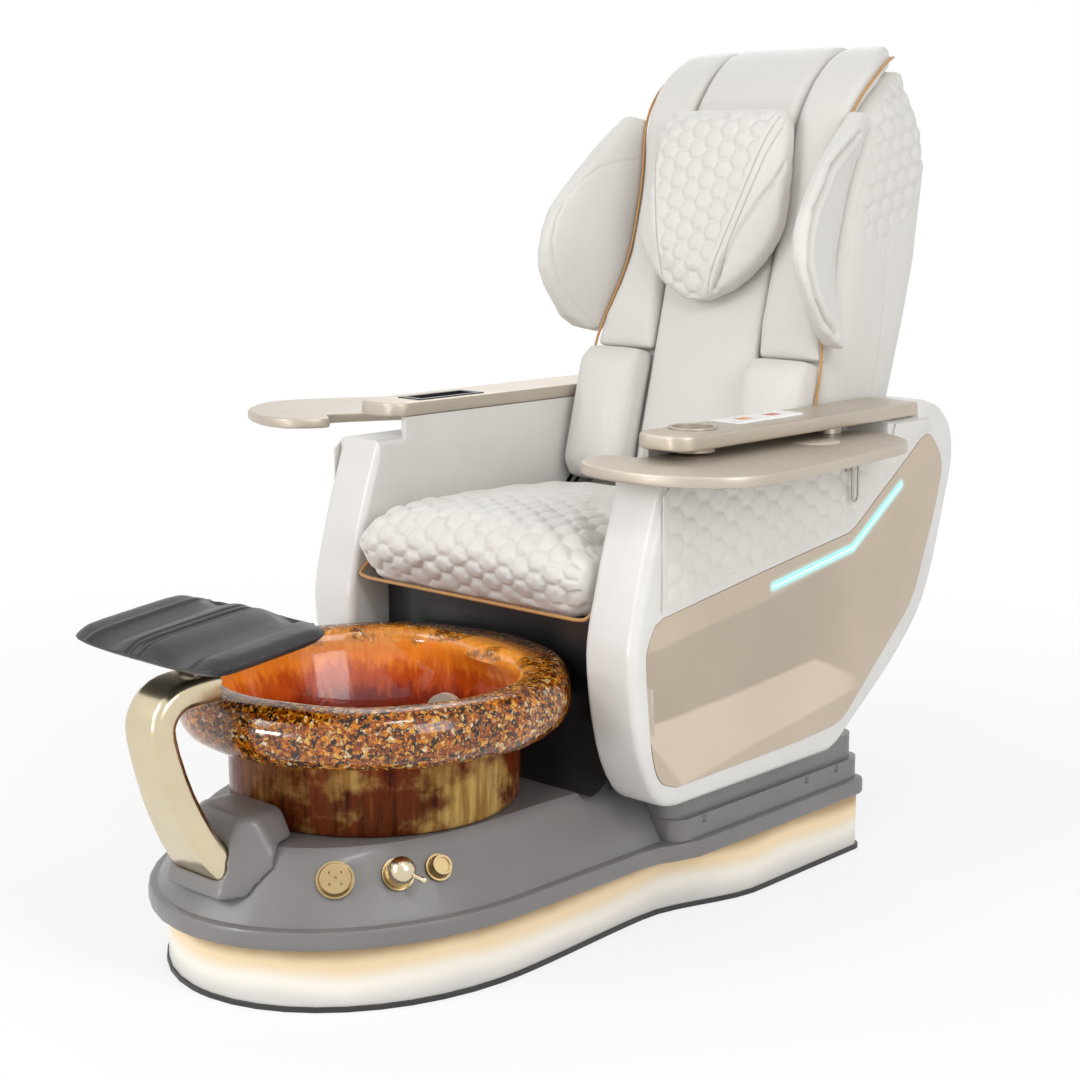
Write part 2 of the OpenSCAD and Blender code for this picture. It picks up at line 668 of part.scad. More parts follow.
module diverter_knob() {
    color("#c2a869") on_flank(diverter_a) {
        difference() {
            translate([0, 0, flange_t + 2 * fit])
                cylinder(h = 15, r1 = diverter_r - 1, r2 = diverter_r - 4, $fn = round_fn);
            for (a = [0:30:330]) rotate([0, 0, a]) translate([diverter_r + 0.6, 0, 0])
                cylinder(h = far, r = 2.4, $fn = small_fn);
            translate([0, 0, flange_t + 13]) cylinder(h = 10, r = diverter_r - 8, $fn = small_fn);
        }
        translate([0, 0, -28]) cylinder(h = 36, r = diverter_bore_r - run, $fn = small_fn);
    }
}

// ---- Side arms -------------------------------------------------------------
tray_over = 16;                         // air between tray and armrest, filled by the boss
tray_under = 2;                         // air between tray and arm
ledge_h = arm_h - tray_over - tray_t - tray_under;
ledge_y = 668;                          // rear end of the tray's ledge
rail_y1 = 764;                          // rear end of the armrest, against the arm's shoulder
z_ledge = z_arm + ledge_h;
z_tray = z_ledge + tray_under;

// The arm's side views are drawn for this height and follow arm_h from there
drawn_arm_h = 603;
function tall(p) = [for (q = p) [q.x, q.y * arm_h / drawn_arm_h]];

// Side view of an arm: y, and height above the plinth, counter-clockwise
arm_profile = concat(
    curve(concat([[20, ledge_h]], tall([[2, 508], [-18, 450], [-38, 380], [-54, 318], [-60, 270],
           [-55, 210], [-44, 146], [-24, 80], [6, 28], [34, 6], [66, 0]])), 2, false),
    curve(concat(tall([[500, 0], [530, 10], [578, 44], [682, 116], [760, 182], [808, 240], [844, 320],
           [870, 408], [892, 480], [897, 524], [890, 564], [870, 596], [838, 618]]),
           [[800, arm_h + rail_t - 1]]), 2, false),
    [[rail_y1 + fit, arm_h + rail_t - 1], [rail_y1 + fit, arm_h], [ledge_y, arm_h], [ledge_y, ledge_h]]);

panel_profile = tall(concat(
    curve([[-20, 306], [-29, 280], [-28, 240], [-16, 134], [-5, 85], [14, 54], [54, 39]], 3, false),
    curve([[400, 45], [505, 52], [545, 66], [580, 94]], 2, false),
    curve([[740, 230], [768, 268], [800, 346], [824, 404], [846, 480], [847, 508], [832, 536],
           [806, 562], [787, 563], [770, 556]], 2, false),
    [[744, 538], [564, 418], [542, 408], [289, 375], [12, 336], [-8, 326]]));

function along_x(p, x) = [for (q = p) [x, q.x, q.y]];

module arm_shape() {
    k = 3;
    loft([for (i = [0:k]) let (a = 90 * i / k)
              along_x(inset(arm_profile, arm_round * 0.7 * (1 - sin(a))),
                  x_in + arm_round * 0.7 * (1 - cos(a))),
          for (i = [0:k]) let (a = 90 * i / k)
              along_x(inset(arm_profile, arm_round * (1 - cos(a))),
                  x_out - arm_round + arm_round * sin(a)),
          along_x(inset(arm_profile, arm_round), x_out + 2)]);
}

// Opening behind the side panel, smaller than the panel all round
window_profile = tall([[0, 120], [40, 66], [390, 72], [500, 80], [545, 110], [720, 250], [790, 400],
    [816, 480], [808, 515], [772, 520], [580, 385], [300, 345], [20, 306], [-8, 270]]);

panel_in = 6;                           // depth of the pocket for the side panel
riser_t = 14;                           // inner wall that carries the armrest

module arm(cup = false) {
    translate([0, 0, z_arm]) difference() {
        union() {
            arm_shape();
            translate([x_in + 1, rail_y0 + 30, ledge_h - 12])
                cube([riser_t - 1, rail_y1 - rail_y0 - 4, arm_h - ledge_h + 12]);
        }
        translate([x_in + arm_wall, 0, 0]) rotate([90, 0, 90])
            linear_extrude(arm_t - 2 * arm_wall) polygon(inset(arm_profile, arm_wall + 3));
        translate([x_out, arm_profile[5].y - far, -1]) cube([far, 3 * far, 2 * far]);
        translate([x_out - panel_in, 0, 0]) rotate([90, 0, 90])
            linear_extrude(panel_in + 1) polygon(inset(panel_profile, -fit));
        translate([x_out - 2 * arm_wall, 0, 0]) rotate([90, 0, 90])
            linear_extrude(3 * arm_wall) polygon(window_profile);
        if (cup)
            translate([cup_x, cup_y, arm_h - 14])
                cylinder(h = 20, r = cup_d / 2 + cup_wall + 1, $fn = round_fn);
    }
}

module arm_right() { color("#dcd9d3") arm(true); }
module arm_left() { color("#dcd9d3") mirror([1, 0, 0]) arm(); }

light_w = 9;
light_path = tall([[313, 344], [553, 379], [706, 478]]);
module light_line(w) {
    a = light_path[0];
    b = light_path[1];
    c = light_path[2];
    u = (b - a) / norm(b - a);
    v = (c - b) / norm(c - b);
    m = w / 2 * [-u.y, u.x];
    n = w / 2 * [-v.y, v.x];
    k = (m + n) / (1 + u * v);          // mitre where the two runs meet
    polygon([a - m, b - k, c - n, c + v * w / 3, c + n, b + k, a + m, a - u * w / 3]);
}

module side_panel() {
    translate([x_out - panel_in + fit, 0, z_arm]) rotate([90, 0, 90]) difference() {
        linear_extrude(panel_t) polygon(inset(panel_profile, fit));
        translate([0, 0, panel_t - 2]) linear_extrude(3) polygon(tall([[-60, 276], [234, 314], [540, 352],
            [566, 360], [724, 462], [760, 530], [900, 560], [900, 20], [500, -20], [-60, -20]]));
        translate([0, 0, panel_t - 3.5]) linear_extrude(4) polygon(tall([[-60, 156], [8, 153],
            [427, 189], [483, 182], [700, 110], [540, 20], [-60, -20]]));
        translate([0, 0, panel_t - 5]) linear_extrude(6) light_line(light_w);
    }
}

module side_panels() { color("#b9a996") both_sides() side_panel(); }

module light_strips() {
    color("#7fe6ef") both_sides() translate([x_out - panel_in + 2 * fit + panel_t - 5, 0, z_arm])
        rotate([90, 0, 90]) linear_extrude(5) light_line(light_w - 2 * fit);
}

quilt_t = 5;
quilt_profile = concat(tall([[6, 348], [289, 385], [540, 417], [560, 426], [742, 548], [768, 566],
    [786, 574], [812, 574]]), [[800, arm_h - 8], [ledge_y + 14, arm_h - 8],
    [ledge_y - 4, ledge_h - 10], [26, ledge_h - 10], [8, ledge_h - 24]]);
module quilt_pads() {
    color("#d9d6d0") both_sides() translate([x_out + fit, 0, z_arm]) rotate([90, 0, 90])
        linear_extrude(quilt_t) polygon(quilt_profile);
}

rail_y0 = 58;                           // front end of the armrest

rail_over = 2;                          // overhang of the armrest past the arm
z_top = z_rail + rail_t;                // top of the armrest
rail_cx = x_in + arm_t / 2;
rail_w = arm_t + 2 * rail_over;
rail_outline = [for (q = concat([for (p = rounded(rail_w, rail_y1 - rail_y0, 14, 4)) if (p.y > 0) p],
                                [for (p = rounded(rail_w, rail_y1 - rail_y0, 38, 5)) if (p.y < 0) p]))
    q + [rail_cx, (rail_y0 + rail_y1) / 2]];

cup_x = x_in + 44;
cup_y = 168;
cup_wall = 2.5;
key_x = x_in + 42;
pad_y0 = 262;                           // keypad, front and rear ends
pad_y1 = 450;
pad_w = 62;
pad_in = 10;
slot_y0 = 138;
slot_y1 = 302;
slot_w = 58;
slot_in = 14;

module rail() { translate([0, 0, fit]) soft_plate(rail_outline, z_rail, rail_t - fit, 6, 2); }

module rail_right() {
    color("#cdbfa9") difference() {
        rail();
        translate([cup_x, cup_y, z_rail - 1])
            cylinder(h = far, r = cup_d / 2 + cup_wall + fit, $fn = round_fn);
        translate([key_x - pad_w / 2, pad_y0, z_top - pad_in]) cube([pad_w, pad_y1 - pad_y0, far]);
    }
}

module rail_left() {
    color("#cdbfa9") difference() {
        mirror([1, 0, 0]) rail();
        translate([-key_x - slot_w / 2, slot_y0, z_top - slot_in]) cube([slot_w, slot_y1 - slot_y0, far]);
    }
}

module cup_holder() {
    color("#d9cfbd") translate([cup_x, cup_y, z_top]) difference() {
        union() {
            translate([0, 0, fit]) cylinder(h = 3, r = cup_d / 2 + 6, $fn = round_fn);
            translate([0, 0, 1 - cup_depth])
                cylinder(h = cup_depth, r = cup_d / 2 + cup_wall, $fn = round_fn);
        }
        translate([0, 0, 1 - cup_depth + 3]) cylinder(h = far, r = cup_d / 2, $fn = round_fn);
    }
}

module phone_slot() {
    color("#151517") translate([-key_x, (slot_y0 + slot_y1) / 2, z_top]) difference() {
        union() {
            translate([-slot_w / 2 + fit, -(slot_y1 - slot_y0) / 2 + fit, fit - slot_in])
                cube([slot_w - 2 * fit, slot_y1 - slot_y0 - 2 * fit, slot_in]);
            translate([-slot_w / 2 - 3, -(slot_y1 - slot_y0) / 2 - 3, fit])
                cube([slot_w + 6, slot_y1 - slot_y0 + 6, 1.5]);
        }
        translate([-slot_w / 2 + 8, -(slot_y1 - slot_y0) / 2 + 10, 3.5 - slot_in])
            cube([slot_w - 16, slot_y1 - slot_y0 - 20, far]);
    }
}

key_w = 22;
key_l = 34;
key_ys = [pad_y0 + 52, pad_y1 - 52];    // the two keys, front to rear
key_drop = 2;                           // travel of a key
module keypad() {
    color("#e9e9ea") difference() {
        union() {
            translate([key_x - pad_w / 2 + fit, pad_y0 + fit, z_top - pad_in + fit])
                cube([pad_w - 2 * fit, pad_y1 - pad_y0 - 2 * fit, pad_in]);
            translate([key_x - pad_w / 2 - 2, pad_y0 - 4, z_top + fit])
                cube([pad_w - 4, pad_y1 - pad_y0 + 8, 2]);
        }
        for (y = key_ys) translate([key_x - 3 - key_w / 2, y - key_l / 2, z_top - 6])
            cube([key_w, key_l, far]);
    }
}

module key(y, tint) {
    color(tint) translate([key_x - 3 - key_w / 2 + fit, y - key_l / 2 + fit, z_top - 6 + key_drop + fit])
        cube([key_w - 2 * fit, key_l - 2 * fit, 8 - key_drop]);
}
module recline_key() { key(key_ys[0], "#d98a3c"); }
module slide_key() { key(key_ys[1], "#b8442e"); }

// Bag hook: a closed loop of rod under a small plate
hook_y = 532;
hook_rod = 5;
hook_span = 18;
z_hook = z_arm + ledge_h - 95;          // lowest point of the hook's loop
module bag_hooks() {
    top = z_hook + 62;
    x = x_out + quilt_t + 2 * fit + 12;
    color("#c9c4bb") both_sides() {
        translate([x_out + quilt_t + 2 * fit, hook_y - 15, top - 8]) cube([4, 30, 26]);
        for (s = [-1, 1]) {
            translate([x, hook_y + s * hook_span / 2, z_hook + hook_span / 2])
                cylinder(h = top - z_hook, d = hook_rod, $fn = small_fn);
            translate([x - 10, hook_y + s * hook_span / 2, top + hook_span / 2]) rotate([0, 90, 0])
                cylinder(h = 10, d = hook_rod, $fn = small_fn);
        }
        translate([x, hook_y, z_hook + hook_span / 2]) rotate([90, 180, 90])
            rotate_extrude(angle = 180, $fn = small_fn)
            translate([hook_span / 2, 0]) circle(d = hook_rod, $fn = 20);
    }
}

// Trays turn about a pin under the armrest, near their rear end
pin_x = x_in + 57;
pin_y = 545;
boss_r = 27;
tray_outline = curve([[240, 62], [234, 20], [252, -28], [318, -62], [420, -66], [500, -34], [554, 20],
    [567, 110], [561, 220], [552, 330], [540, 450], [526, 530], [480, 586], [414, 618], [358, 592],
    [x_in + riser_t + 6, 552], [x_in + riser_t + 5, 480], [x_in + riser_t + 5, 330],
        [x_in + riser_t + 5, 190],
    [x_in + riser_t + 4, 112], [292, 68]], 2);

module tray() {
    difference() {
        soft_plate(tray_outline, z_tray, tray_t, 5, 2);
        translate([pin_x, pin_y, z_tray - 1]) cylinder(h = far, d = tray_pin_d + 2 * run, $fn = small_fn);
    }
}

module tray_right() { color("#cfc0a8") tray(); }
module tray_left() {
    color("#cfc0a8") translate([-pin_x, pin_y, 0]) rotate([0, 0, -tray_swing]) translate([pin_x, -pin_y, 0])
        mirror([1, 0, 0]) tray();
}

module tray_pivots() {
    color("#b9b9bc") both_sides() translate([pin_x, pin_y, 0]) {
        translate([0, 0, z_ledge + fit])
            cylinder(h = z_rail - z_ledge - fit, d = tray_pin_d, $fn = small_fn);
        translate([0, 0, z_tray + tray_t + fit]) cylinder(h = tray_over - fit, r = boss_r, $fn = round_fn);
    }
}

// ---- Seat ------------------------------------------------------------------
beam = 30;
beam_x = 225;
z_beam = 450;
post_y = [140, 490];
runner_y = [[200, 270], [410, 480]];     // the carriage's runner blocks
slide_h = 18;
slide_w = 26;
slide_y0 = runner_y[0][0] - seat_travel - 20;
slide_y1 = 520;
motor_z = 418;
motor_x = 0;
motor_r = 22;
rod_r = 9;
rod_end = post_y[1] - beam / 2 - 30;       // where the rod is held by the carriage

module seat_frame() {
    color("#4f5154") {
        for (y = post_y, x = [-beam_x, beam_x]) translate([x - beam / 2, y - beam / 2, z_arm])
            cube([beam, beam, z_beam - z_arm]);
        both_sides() translate([beam_x - beam / 2, slide_y0, z_beam])
            cube([beam, slide_y1 - slide_y0, beam]);
        for (y = post_y) translate([-beam_x, y - beam / 2, z_beam]) cube([2 * beam_x, beam, beam]);
        translate([motor_x - 26, post_y[0] - beam / 2, motor_z - 26])
            cube([52, beam, z_beam - motor_z + 26]);
        for (y = post_y, x = [-beam_x, beam_x]) translate([x - 32, y - 32, z_arm]) cube([64, 64, 6]);
    }
}

module slide_rails() {
    color("#b4b7ba") both_sides() translate([beam_x - slide_w / 2, slide_y0,
        z_beam + beam + fit]) difference() {
        cube([slide_w, slide_y1 - slide_y0, slide_h]);
        for (s = [-1, slide_w - 5]) translate([s, -1, 7]) cube([6, far, 5]);
    }
}

z_slide = z_beam + beam + fit + slide_h;
hinge_y = 560;
hinge_z = 565;
hinge_r = 8;
back_bracket_x = 190;                   // inner face of the backrest's bracket
bracket_t = 12;

// The carriage carries the seat and the backrest's hinge along the rails
module carriage() {
    tube_h = 30;
    runner_h = z_slide - z_beam - beam;
    color("#3f4144") {
        both_sides() {
            for (r = runner_y) translate([beam_x - slide_w / 2 - 8, r[0], z_beam + beam + 6]) difference() {
                cube([slide_w + 16, r[1] - r[0], runner_h]);
                translate([8 - fit, -1, -1]) cube([slide_w + 2 * fit, far, runner_h - 5 + fit]);
            }
            translate([beam_x - beam / 2, runner_y[0][0], z_slide + fit])
                cube([beam, hinge_y + 26 - runner_y[0][0], tube_h]);
            translate([back_bracket_x + bracket_t + 1, hinge_y - 23, z_slide + fit])
                cube([10, 46, hinge_z - z_slide]);
            translate([back_bracket_x + bracket_t + 1, hinge_y, hinge_z]) rotate([0, 90, 0])
                cylinder(h = 10, r = 22, $fn = small_fn);
            translate([back_bracket_x - 6, hinge_y, hinge_z]) rotate([0, 90, 0])
                cylinder(h = bracket_t + 12, r = hinge_r, $fn = small_fn);
        }
        for (y = [260, 490]) translate([-beam_x, y - 15, z_slide + fit]) cube([2 * beam_x, 30, 20]);
        translate([-262, -14, seat_z - fit - 6]) cube([524, 538, 6]);
        translate([-beam_x, runner_y[0][0] + 20, z_slide + tube_h - 1])
            cube([2 * beam_x, 270, seat_z - 6 - z_slide - tube_h + 1]);
        translate([motor_x - 20, rod_end, motor_z - 20])
            cube([40, 8, z_slide + tube_h + 1 - motor_z + 20]);
    }
}

module slide_motor() {
    y0 = post_y[0] + beam / 2 + fit;
    color("#2a2b2d") difference() {
        union() {
            translate([motor_x, y0, motor_z]) rotate([-90, 0, 0])
                cylinder(h = seat_travel + 43, r = motor_r, $fn = small_fn);
            translate([motor_x, y0, motor_z]) rotate([-90, 0, 0])
                cylinder(h = 46, r = motor_r + 8, $fn = small_fn);
        }
        translate([motor_x, y0 + 5, motor_z]) rotate([-90, 0, 0])
            cylinder(h = far, r = rod_r + run, $fn = small_fn);
    }
}

module slide_rod() {
    color("#c9cbce") translate([motor_x, rod_end - fit, motor_z]) rotate([90, 0, 0])
        cylinder(h = seat_travel + 44, r = rod_r, $fn = small_fn);
}

// Side view of the seat cushion: y, and height above its underside
seat_profile = curve([[10, 0], [-10, 3], [-42, 18], [-68, 44], [-77, 72], [-66, 98], [-34, seat_t + 2],
    [30, seat_t + 10], [140, seat_t + 11], [260, seat_t + 9], [380, seat_t + 6], [480, seat_t + 4],
    [520, seat_t], [530, seat_t - 12], [530, 60], [530, 10], [520, 0], [360, 0], [180, 0]], 2);

seat_half = x_in - 9;
seat_cols = 2 * round(seat_half / cell_w);      // two columns to a quilted cell
function seat_ring(i) = let (u = 2 * i / seat_cols - 1, x = u * seat_half,
        e = pow(1 - 0.93 * pow(abs(u), 12), 0.3), c = [230, seat_t * 0.48])
    [for (j = [0:len(seat_profile) - 1]) let (p = seat_profile[j],
        q = seat_profile[(j + 1) % len(seat_profile)],
        r = seat_profile[(j + len(seat_profile) - 1) % len(seat_profile)], t = q - r, m = [t.y,
            -t.x] / norm(t),
        sewn = p.x < 470 && (p.y > 8 || p.x < -20) && i > 0 && i < seat_cols && (i + j) % 2 == 0,
        top = p.y > seat_t - 6 ? 1 : p.y > seat_t * 0.5 ? 0.4 : 0,
        rise = top * seat_crown * (1 - u * u) * ease(560, 300, p.x),
        s = c + [(p.x - c.x) * mix(1, e, 0.12), (p.y - c.y) * mix(1, e, 0.55)] - m * (sewn ? cell_d : 0))
        [x, s.x, max(0, s.y + rise)]];

module seat_cushion() {
    color("#dbd7d1") translate([0, 0, seat_z]) loft([for (i = [0:seat_cols]) rev(seat_ring(i))]);
}

// Round tube swept along a path
function tube_ring(path, i, r, k) = let (n = len(path), e = path[min(n - 1, i + 1)] - path[max(0, i - 1)],
        u = e / norm(e), a = cross(u, abs(u.x) < 0.8 ? [1, 0, 0] : [0, 0, 1]), v = a / norm(a),
            w = cross(u, v))
    [for (j = [0:k - 1]) path[i] + r * (cos(360 * j / k) * v + sin(360 * j / k) * w)];
module sweep(path, r, k = 6) { loft([for (i = [0:len(path) - 1]) tube_ring(path, i, r, k)]); }

piping_r = 3.2;
module seat_piping() {
    w = seat_half;
    half = [[0, -26, -2.4], [w - 60, -26, -2.4], [w - 16, -30, 1], [w + 1, -34, 10], [w + 3.6, -22, 26],
        [w + 3.6, 14, 60]];
    path = curve(concat([for (i = [len(half) - 1:-1:1]) [-half[i].x, half[i].y, half[i].z]], half), 4,
        false);
    color("#b5793f") translate([0, 0, seat_z]) sweep([for (p = path) p - [0, 0, 2]], piping_r);
}

// ---- Backrest --------------------------------------------------------------
back_y = 540;                           // where the back's front meets the seat
back_z = seat_z + seat_t + 10;
module on_back() { translate([0, back_y, back_z]) rotate([-back_tilt, 0, 0]) children(); }

// Local frame of the backrest: X across, Y its depth from the front, Z up it
back_low = -60;
shell_half = back_w / 2;

// Face that the padding lies on, as depth and height, from the pillow over the top
over_top = curve([[pad_t, back_h - 378], [pad_t, back_h - 270], [pad_t + 1, back_h - 200], [pad_t + 11,
    back_h - 156],
    [pad_t + 31, back_h - 116], [pad_t + 59, back_h - 81], [pad_t + 88, back_h - 56], [pad_t + 118,
        back_h - 40],
    [pad_t + 134, back_h - 37]], 2, false);
shell_top = [for (p = over_top) p.y];

function front_at(z) = lookup(z, [for (p = over_top) [p.y, p.x]]);
function rear_at(z) = lookup(z, [[back_low, back_d - 40], [150, back_d - 22], [270, back_d - 13], [410,
    back_d - 4],
    [back_h - 396, back_d], [back_h - 203, back_d - 26], [back_h - 140, back_d - 50], [back_h - 88,
        back_d - 78],
    [back_h - 34, back_d - 108]]);
function half_at(z) = lookup(z, [[back_h - 350, shell_half], [back_h - 203, shell_half + 5],
    [back_h - 140, shell_half],
    [back_h - 88, shell_half - 16], [back_h - 34, shell_half - 45]]);

function shell_ring(z, d) = let (y0 = front_at(z) + d, y1 = rear_at(z) - d, w = half_at(z) - d, h = y1 - y0,
        r = min(50, h / 2 - 1))
    [for (q = rounded(2 * w, h, r, 3)) [q.x, q.y + (y0 + y1) / 2, z]];

shell_wall = 10;
module back_shell() {
    inner = [for (z = concat([back_low - 1, 200], [for (z = shell_top) if (z < back_h - 90) z])) z];
    color("#dedbd5") on_back() difference() {
        loft([for (z = concat([back_low, 150, 270, 410], shell_top)) shell_ring(z, 0)]);
        loft([for (z = inner) shell_ring(z, shell_wall)]);
        translate([-104, 0, 60]) cube([208, pad_t + 30, 560]);
    }
}

// Belt of padding that follows the shell's front and goes over its top
front_path = [[pad_t, 276], [pad_t, 340], [pad_t, 400], [pad_t, 470]];

function across(path, i) = let (e = path[min(len(path) - 1, i + 1)] - path[max(0, i - 1)], u = e / norm(e))
    [-u.y, u.x];                        // unit vector square to a path at its point i
function belt_ring(path, i, x0, x1, t, r) = let (m = across(path, i), p = path[i])
    [for (q = rounded(x1 - x0, t - fit, min(r, t / 2 - 1), 2)) let (d = t / 2 + fit / 2 - q.y)
        [q.x + (x0 + x1) / 2, p.x + d * m.x, p.y + d * m.y]];

// Outer edge of the side strips along the piping
function edge_x(z) = z < 262 ? shell_half + 2 : z < 489 ? mix(shell_half + 2, 222, ease(240, 489, z))
    : mix(222, 252, ease(580, back_h - 90, z)) - 14 * ease(back_h - 90, back_h - 35, z);

strip_x = 130;
corner_n = 4;                           // steps of the path that the strips' rounded ends take
corner_left = 0.6;                      // share of a step that stays square at the very end
function corner(i, n) = sqrt(1 - pow(max(0, i - (n - corner_n)) / (corner_n + corner_left), 2));
function strip_edge(z, i, n) = strip_x + (edge_x(z) - strip_x) * corner(i, n);

module back_strips() {
    path = concat(front_path, over_top);
    n = len(path) - 1;
    color("#dcd8d2") on_back() both_sides() loft([for (i = [0:n])
        belt_ring(path, i, strip_x, strip_edge(path[i].y, i, n),
            i == 0 || i == n ? pad_t - 6 : pad_t + 4 + 10 * ease(n - 11, n - 3, i), 12)]);
}

module back_hood() {
    n = len(over_top) - 1;
    color("#dedad4") on_back() loft([for (i = [2:n])
        belt_ring(over_top, i, -strip_x + 2, strip_x - 2,
            i == 2 || i == n ? pad_t - 8 : pad_t + 16 * ease(5, 13, i), 12)]);
}

// Ring shaped like a rounded oblong, with points along its long faces
function oblong(w, t, k = 28, p = 0.42) = [for (i = [0:k - 1]) let (a = 360 * i / k, c = cos(a), s = sin(a))
    [w / 2 * sign(c) * pow(abs(c), p), t / 2 * sign(s) * pow(abs(s), p)]];

module back_center() {
    h0 = -30;
    h1 = over_top[2][1] - 6;
    n = 12;
    color("#dad6d0") on_back() loft([for (i = [0:n]) let (u = 2 * i / n - 1,
        e = pow(1 - 0.9 * pow(abs(u), 14), 0.3))
        [for (q = oblong(2 * strip_x - 5, (pad_t - 2 * fit) * mix(0.7, 1, e), 24))
            [q.x * mix(0.97, 1, e), q.y + pad_t / 2 + (q.y < 0 ? -4 * (1 - pow(q.x / strip_x, 2)) * e : 0),
             mix(h0, h1, i / n)]]]);
}

lumbar_h = 268;
lumbar_t = 82;
module lumbar_pads() {
    n = 9;
    w = shell_half - strip_x - 2.5;
    color("#dad7d1") on_back() both_sides() translate([strip_x + w / 2, pad_t - fit - lumbar_t / 2, 4])
        loft([for (i = [0:n]) let (u = 2 * i / n - 1, e = pow(1 - 0.94 * pow(abs(u), 8), 0.34))
            [for (q = oblong(w * mix(0.9, 1, e), lumbar_t * mix(0.5, 1, e), 20))
                [q.x, q.y + (1 - e) * lumbar_t * 0.22 + (q.y < 0 ? q.y * 0.1 * (1 - pow(2 * q.x / w,
                    2)) : 0),
                 lumbar_h * (i / n)]]]);
}

pillow_t = 66;
pillow_z = 372;
function pillow_half(t) = pillow_w / 2 * (t < 0.45 ? mix(0.18, 1.06, pow(sin(200 * t), 0.7))
    : mix(1.06, 0.96, ease(0.45, 1, t))) ;
module pillow() {
    n = 15;
    color("#d8d4ce") on_back() translate([0, -4, pillow_z]) loft([for (i = [0:n])
        let (t = i / n, u = 2 * t - 1, e = pow(1 - 0.95 * pow(abs(u), 7), 0.42))
        [for (q = oblong(2 * pillow_half(t) * mix(0.86, 1, e), pillow_t * mix(0.35, 1, e), 24, 0.55))
            [q.x, min(-fit, q.y - pillow_t / 2), pillow_h * t]]]);
}

wing_t = 40;
wing_a = 72;                            // how far a wing turns forwards
wing_gap = 2 * piping_r + 5;            // room for the piping at the wing's root
function wing_reach(z) = wing_l / 195 * lookup(z, [[306, 20], [322, 72], [340, 101], [370, 143], [405, 175],
    [440, 191], [480, 195], [510, 190], [560, 163], [600, 137], [640, 108], [680, 74], [715, 44], [745,
        18]]);
wing_root = 31;                         // how far a wing reaches back to the shell
wing_z = [306, 322, 340, 370, 405, 440, 480, 510, 560, 600, 640, 680, 715, 745];
module wings() {
    color("#dcd9d4") on_back() both_sides() loft([for (z = wing_z)
        let (l = wing_reach(z) + wing_root, t = min(wing_t, l * 0.8), root = edge_x(z) + wing_gap + t / 2)
        [for (q = oblong(l, t, 20, 0.55)) let (s = q.x + l / 2 - wing_root)
            [root + s * cos(wing_a) + q.y * sin(wing_a), -s * sin(wing_a) + q.y * cos(wing_a), z]]]);
}

// Centre of the piping: outside the strips, and inside the arms where it runs between them
arm_top = 250;                          // height in the backrest's frame where the arms end
swing_out = 4.6;                        // how far the piping swings out around the rounded corners
function piping_gap(i, n) = (piping_r + 4 * fit) * (1 + swing_out * (1 - corner(i, n)));
function piping_x(z, i, n) = min(strip_edge(z, i, n) + piping_gap(i, n),
    z < arm_top ? x_in - rail_over - piping_r - 0.5 : far);

module back_piping() {
    low = [for (z = [110, 190, arm_top - 2]) [pad_t, z]];
    path = concat(low, [for (p = front_path) p + [0, 24]], over_top);
    n = len(path) - 1;
    color("#b5793f") on_back() both_sides() sweep([for (i = [0:n]) let (m = across(path, i) * (pad_t - 6))
        [piping_x(path[i].y, i, n), path[i].x + m.x, path[i].y + m.y]], piping_r, 6);
}

// Point of the seat's frame given in the backrest's frame
function to_back(y, z) = let (a = y - back_y, b = z - back_z)
    [a * cos(back_tilt) - b * sin(back_tilt), a * sin(back_tilt) + b * cos(back_tilt)];
hinge_b = to_back(hinge_y, hinge_z);
rod_x = 150;
rod_y = 108;
guide_r = 8;
guide_z0 = 40;
guide_z1 = 690;
lug_z = [40, 320, 600];                 // lugs that hold the shell's front

module back_frame() {
    color("#55575a") on_back() {
        both_sides() difference() {
            union() {
                translate([back_bracket_x, 80, -30]) cube([bracket_t, 56, guide_z1 + 50]);
                for (z = lug_z) translate([back_bracket_x, pad_t + shell_wall + fit, z])
                    cube([bracket_t, 60, 50]);
                translate([back_bracket_x, hinge_b.x, hinge_b.y + 4])
                    cube([bracket_t, 134 - hinge_b.x, -hinge_b.y - 10]);
                translate([back_bracket_x, hinge_b.x, hinge_b.y]) rotate([0, 90, 0])
                    cylinder(h = bracket_t, r = 24, $fn = small_fn);
            }
            translate([back_bracket_x - 1, hinge_b.x, hinge_b.y]) rotate([0, 90, 0])
                cylinder(h = bracket_t + 2, r = hinge_r + run, $fn = small_fn);
        }
        for (z = [guide_z0 - 24, guide_z1]) translate([-back_bracket_x, 92, z])
            cube([2 * back_bracket_x, 32, 24]);
        both_sides() translate([rod_x, rod_y, guide_z0 - 4])
            cylinder(h = guide_z1 - guide_z0 + 8, r = guide_r, $fn = small_fn);
    }
}

massage_z = 130;                        // lower end of the massage carriage's travel
massage_h = 60;
roller_y = 68;
roller_r = 24;
roller_x = [48, 88];
module massage_carriage() {
    color("#8d9093") on_back() translate([0, 0, massage_z]) difference() {
        union() {
            translate([-rod_x - 20, 96, 0]) cube([2 * rod_x + 40, 26, massage_h]);
            both_sides() translate([100, roller_y - 12, 15]) cube([8, 42, 30]);
        }
        both_sides() translate([rod_x, rod_y, -1])
            cylinder(h = massage_h + 2, r = guide_r + run, $fn = small_fn);
        translate([0, roller_y, massage_h / 2]) rotate([0, 90, 0])
            cylinder(h = far, r = 6 + run, center = true, $fn = small_fn);
    }
}

module massage_rollers() {
    color("#2c2c2e") on_back() translate([0, roller_y, massage_z + massage_h / 2]) rotate([0, 90, 0]) {
        cylinder(h = 220, r = 6, center = true, $fn = small_fn);
        for (s = [-1, 1], x = roller_x) translate([0, 0, s * x - 8])
            cylinder(h = 16, r = roller_r - 4, $fn = small_fn);
    }
}

